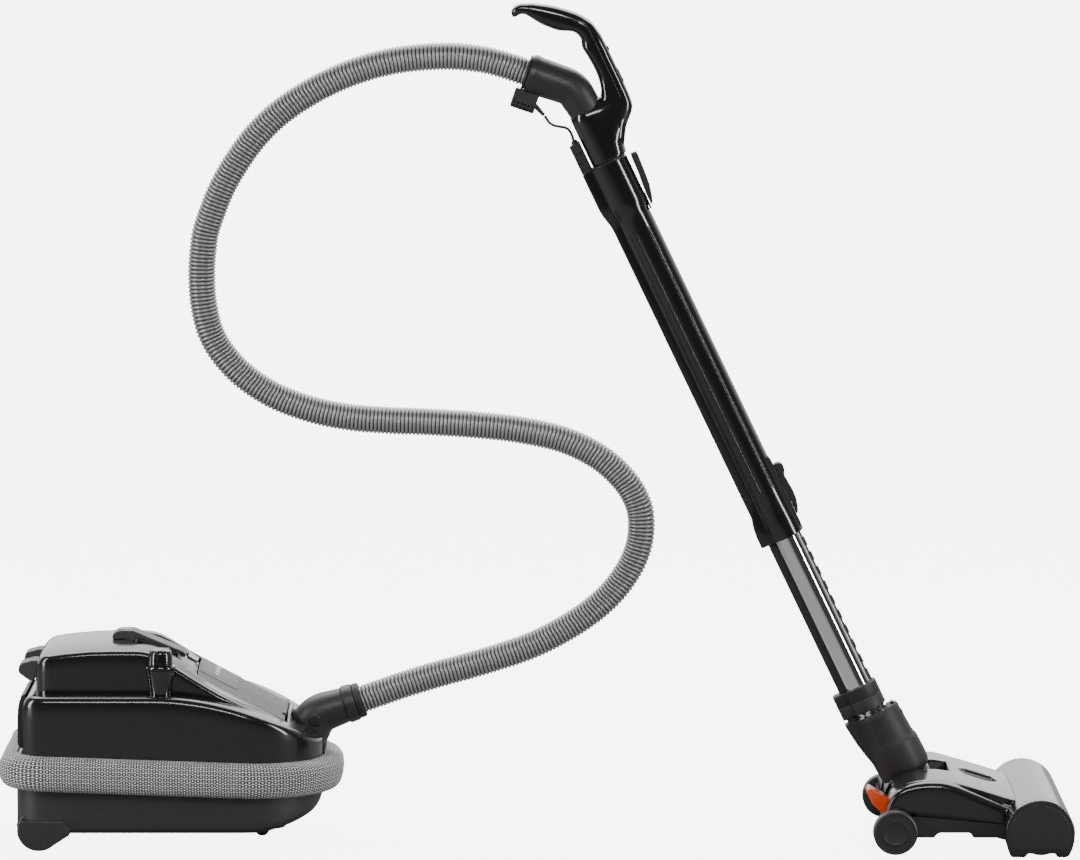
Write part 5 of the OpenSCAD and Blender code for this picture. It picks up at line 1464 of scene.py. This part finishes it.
dial, around = revolved([(0, -4.2), (19, -4.2), (19.8, -3.4), (19.8, -0.6), (18.8, 0.5), (17, 0.9), (0, 0.9)],
                        (0, 0, 0), (0, 0, 1), 120)
turn = np.arctan2(dial[..., 1], dial[..., 0])
rim = np.hypot(dial[..., 0], dial[..., 1]) > 16
dial[..., :2] *= (1 - 0.03 * rim * ramp((np.cos(turn * 20) - 0.1) / 0.7))[..., None]
finger_bar = prism(box_outline(-17, 17, -3.6, 3.6, 3.2, 5), 0.6, 3.4, "z")
make("height_dial", [(dial, around), finger_bar], on_dial, "height_knob", ["height_knob"], matt,
     sharp=34)
make("dial_arrow", [prism([(10, -1.6), (15.6, 0), (10, 1.6)], 3.3, 3.75, "z")], on_dial, "height_knob", [],
     marks)
for k in range(4):
    t = math.radians(-66 + 44 * k)
    x, y = 28.6 * math.cos(t), 28.6 * math.sin(t)
    make("dial_mark_%d" % k,
         [prism(box_outline(x - 0.9 - 0.5 * k, x + 0.9 + 0.5 * k, y - 0.9, y + 0.9, 0.5, 2), -0.6, 0.35,
                "z")], on_dial, "foot", [], marks)
tread_side = [(402.6, 66.4), (404.6, 70.4), (407, 71), (432, 56), (434.6, 50.4), (431.4, 45), (425, 40.2),
              (421, 41.4), (409.6, 52)]
make("release_tread", [prism(tread_side, -77.6, -42.4)], in_row, "release_pedal", ["release_pedal"],
     orange, bevel=1.4, segments=3)
tread_ribs = []
for k in range(4):
    x = 408.6 + 5.2 * k
    z = 70.4 - (x - 407) * 0.6
    tread_ribs.append(prism([(x - 1.2, z - 1), (x - 0.8, z + 0.75), (x + 0.8, z - 0.2), (x + 1.2, z - 2)],
                            -74, -46))
make("tread_ribs", tread_ribs, in_row, "release_pedal", [], orange, bevel=0.2, segments=2)

# %% [markdown]
# ## Studio
# A soft, nearly white room. Glossy black plastic shows only what it mirrors, so a room that is white all
# round would turn it grey. A product studio solves this by keeping the room behind the camera dark and
# lighting from above: the sides stay black, the deck and the power head's cover pick up the overhead light,
# and narrow strips leave the bright lines along the wand. Here the floor and the surround look white to the
# camera only. For reflections the room is dim in front and bright only behind the cleaner, like a lit paper
# backdrop, so the surfaces that face up and away shine pale while the flanks stay black.

# %% Floor and surround
def camera_switch(tree, seen, other):
    """A value that is `seen` for what the camera looks at and `other` for light and reflections."""
    path = tree.nodes.new("ShaderNodeLightPath")
    mix = tree.nodes.new("ShaderNodeMix")
    mix.data_type = "FLOAT"
    mix.inputs["A"].default_value = other
    mix.inputs["B"].default_value = seen
    tree.links.new(path.outputs["Is Camera Ray"], mix.inputs["Factor"])
    return mix.outputs["Result"]


FLOOR_SEEN, SURROUND_SEEN = 6.5, 7.0
FRONT_GLOW, BACK_GLOW, BACK_POWER = 0.05, 1.7, 1.4

floor_data = bpy.data.meshes.new("floor")
floor_data.from_pydata([(-14, -14, 0), (14, -14, 0), (14, 22, 0), (-14, 22, 0)], [], [(0, 1, 2, 3)])
floor = bpy.data.objects.new("floor", floor_data)
bpy.context.scene.collection.objects.link(floor)
floor_finish = bpy.data.materials.new("pale_floor")
floor_finish.use_nodes = True
tree = floor_finish.node_tree
shader = tree.nodes["Principled BSDF"]
shader.inputs["Base Color"].default_value = (0.24, 0.24, 0.24, 1)
shader.inputs["Roughness"].default_value = 1.0
shader.inputs["Specular IOR Level"].default_value = 0.0
shader.inputs["Emission Color"].default_value = (1, 1, 1, 1)
tree.links.new(camera_switch(tree, FLOOR_SEEN, 0.0), shader.inputs["Emission Strength"])
floor_data.materials.append(floor_finish)

world = bpy.data.worlds.new("surround")
world.use_nodes = True
sky = world.node_tree.nodes["Background"]
sky.inputs["Color"].default_value = (1, 1, 1, 1)
tree = world.node_tree
way = tree.nodes.new("ShaderNodeTexCoord")
split = tree.nodes.new("ShaderNodeSeparateXYZ")
tree.links.new(way.outputs["Generated"], split.inputs[0])
behind = math_node(tree, "MAXIMUM", split.outputs[1], 0.0)
back_glow = math_node(tree, "MULTIPLY_ADD", math_node(tree, "POWER", behind, BACK_POWER), BACK_GLOW,
                      FRONT_GLOW)
seen = tree.nodes.new("ShaderNodeLightPath")
both = tree.nodes.new("ShaderNodeMix")
both.data_type = "FLOAT"
both.inputs["B"].default_value = SURROUND_SEEN
tree.links.new(back_glow, both.inputs["A"])
tree.links.new(seen.outputs["Is Camera Ray"], both.inputs["Factor"])
tree.links.new(both.outputs["Result"], sky.inputs["Strength"])
bpy.context.scene.world = world
print("view transform:", bpy.context.scene.view_settings.view_transform, bpy.context.scene.view_settings.look)


# %% [markdown]
# ## The lights
# Four soft boxes light the cleaner, as in a small studio. A large one overhead lights the surfaces that face
# up. A narrow strip on each side leaves the bright lines along the tubes, and a long strip in front lifts
# the darkest sides a little.

# %% Lights
def soft_light(name, at, aim, size, watts):
    data = bpy.data.lights.new(name, "AREA")
    data.shape = "RECTANGLE"
    data.size, data.size_y = size
    data.energy = watts
    lamp = bpy.data.objects.new(name, data)
    lamp.location = at
    lamp.rotation_euler = (Vector(aim) - Vector(at)).to_track_quat("-Z", "Y").to_euler()
    bpy.context.scene.collection.objects.link(lamp)
    return lamp


soft_light("overhead", (0, 1.3, 2.3), (0, 0.1, 0.1), (3.6, 2.2), 120)
soft_light("left_strip", (-2.3, -1.0, 1.0), (0.2, 0, 0.5), (0.35, 1.9), 45)
soft_light("right_strip", (2.4, -1.2, 1.0), (0.2, 0, 0.5), (0.30, 1.9), 45)
soft_light("front_low", (0.0, -3.4, 2.4), (0, 0, 0.3), (2.2, 0.35), 62)
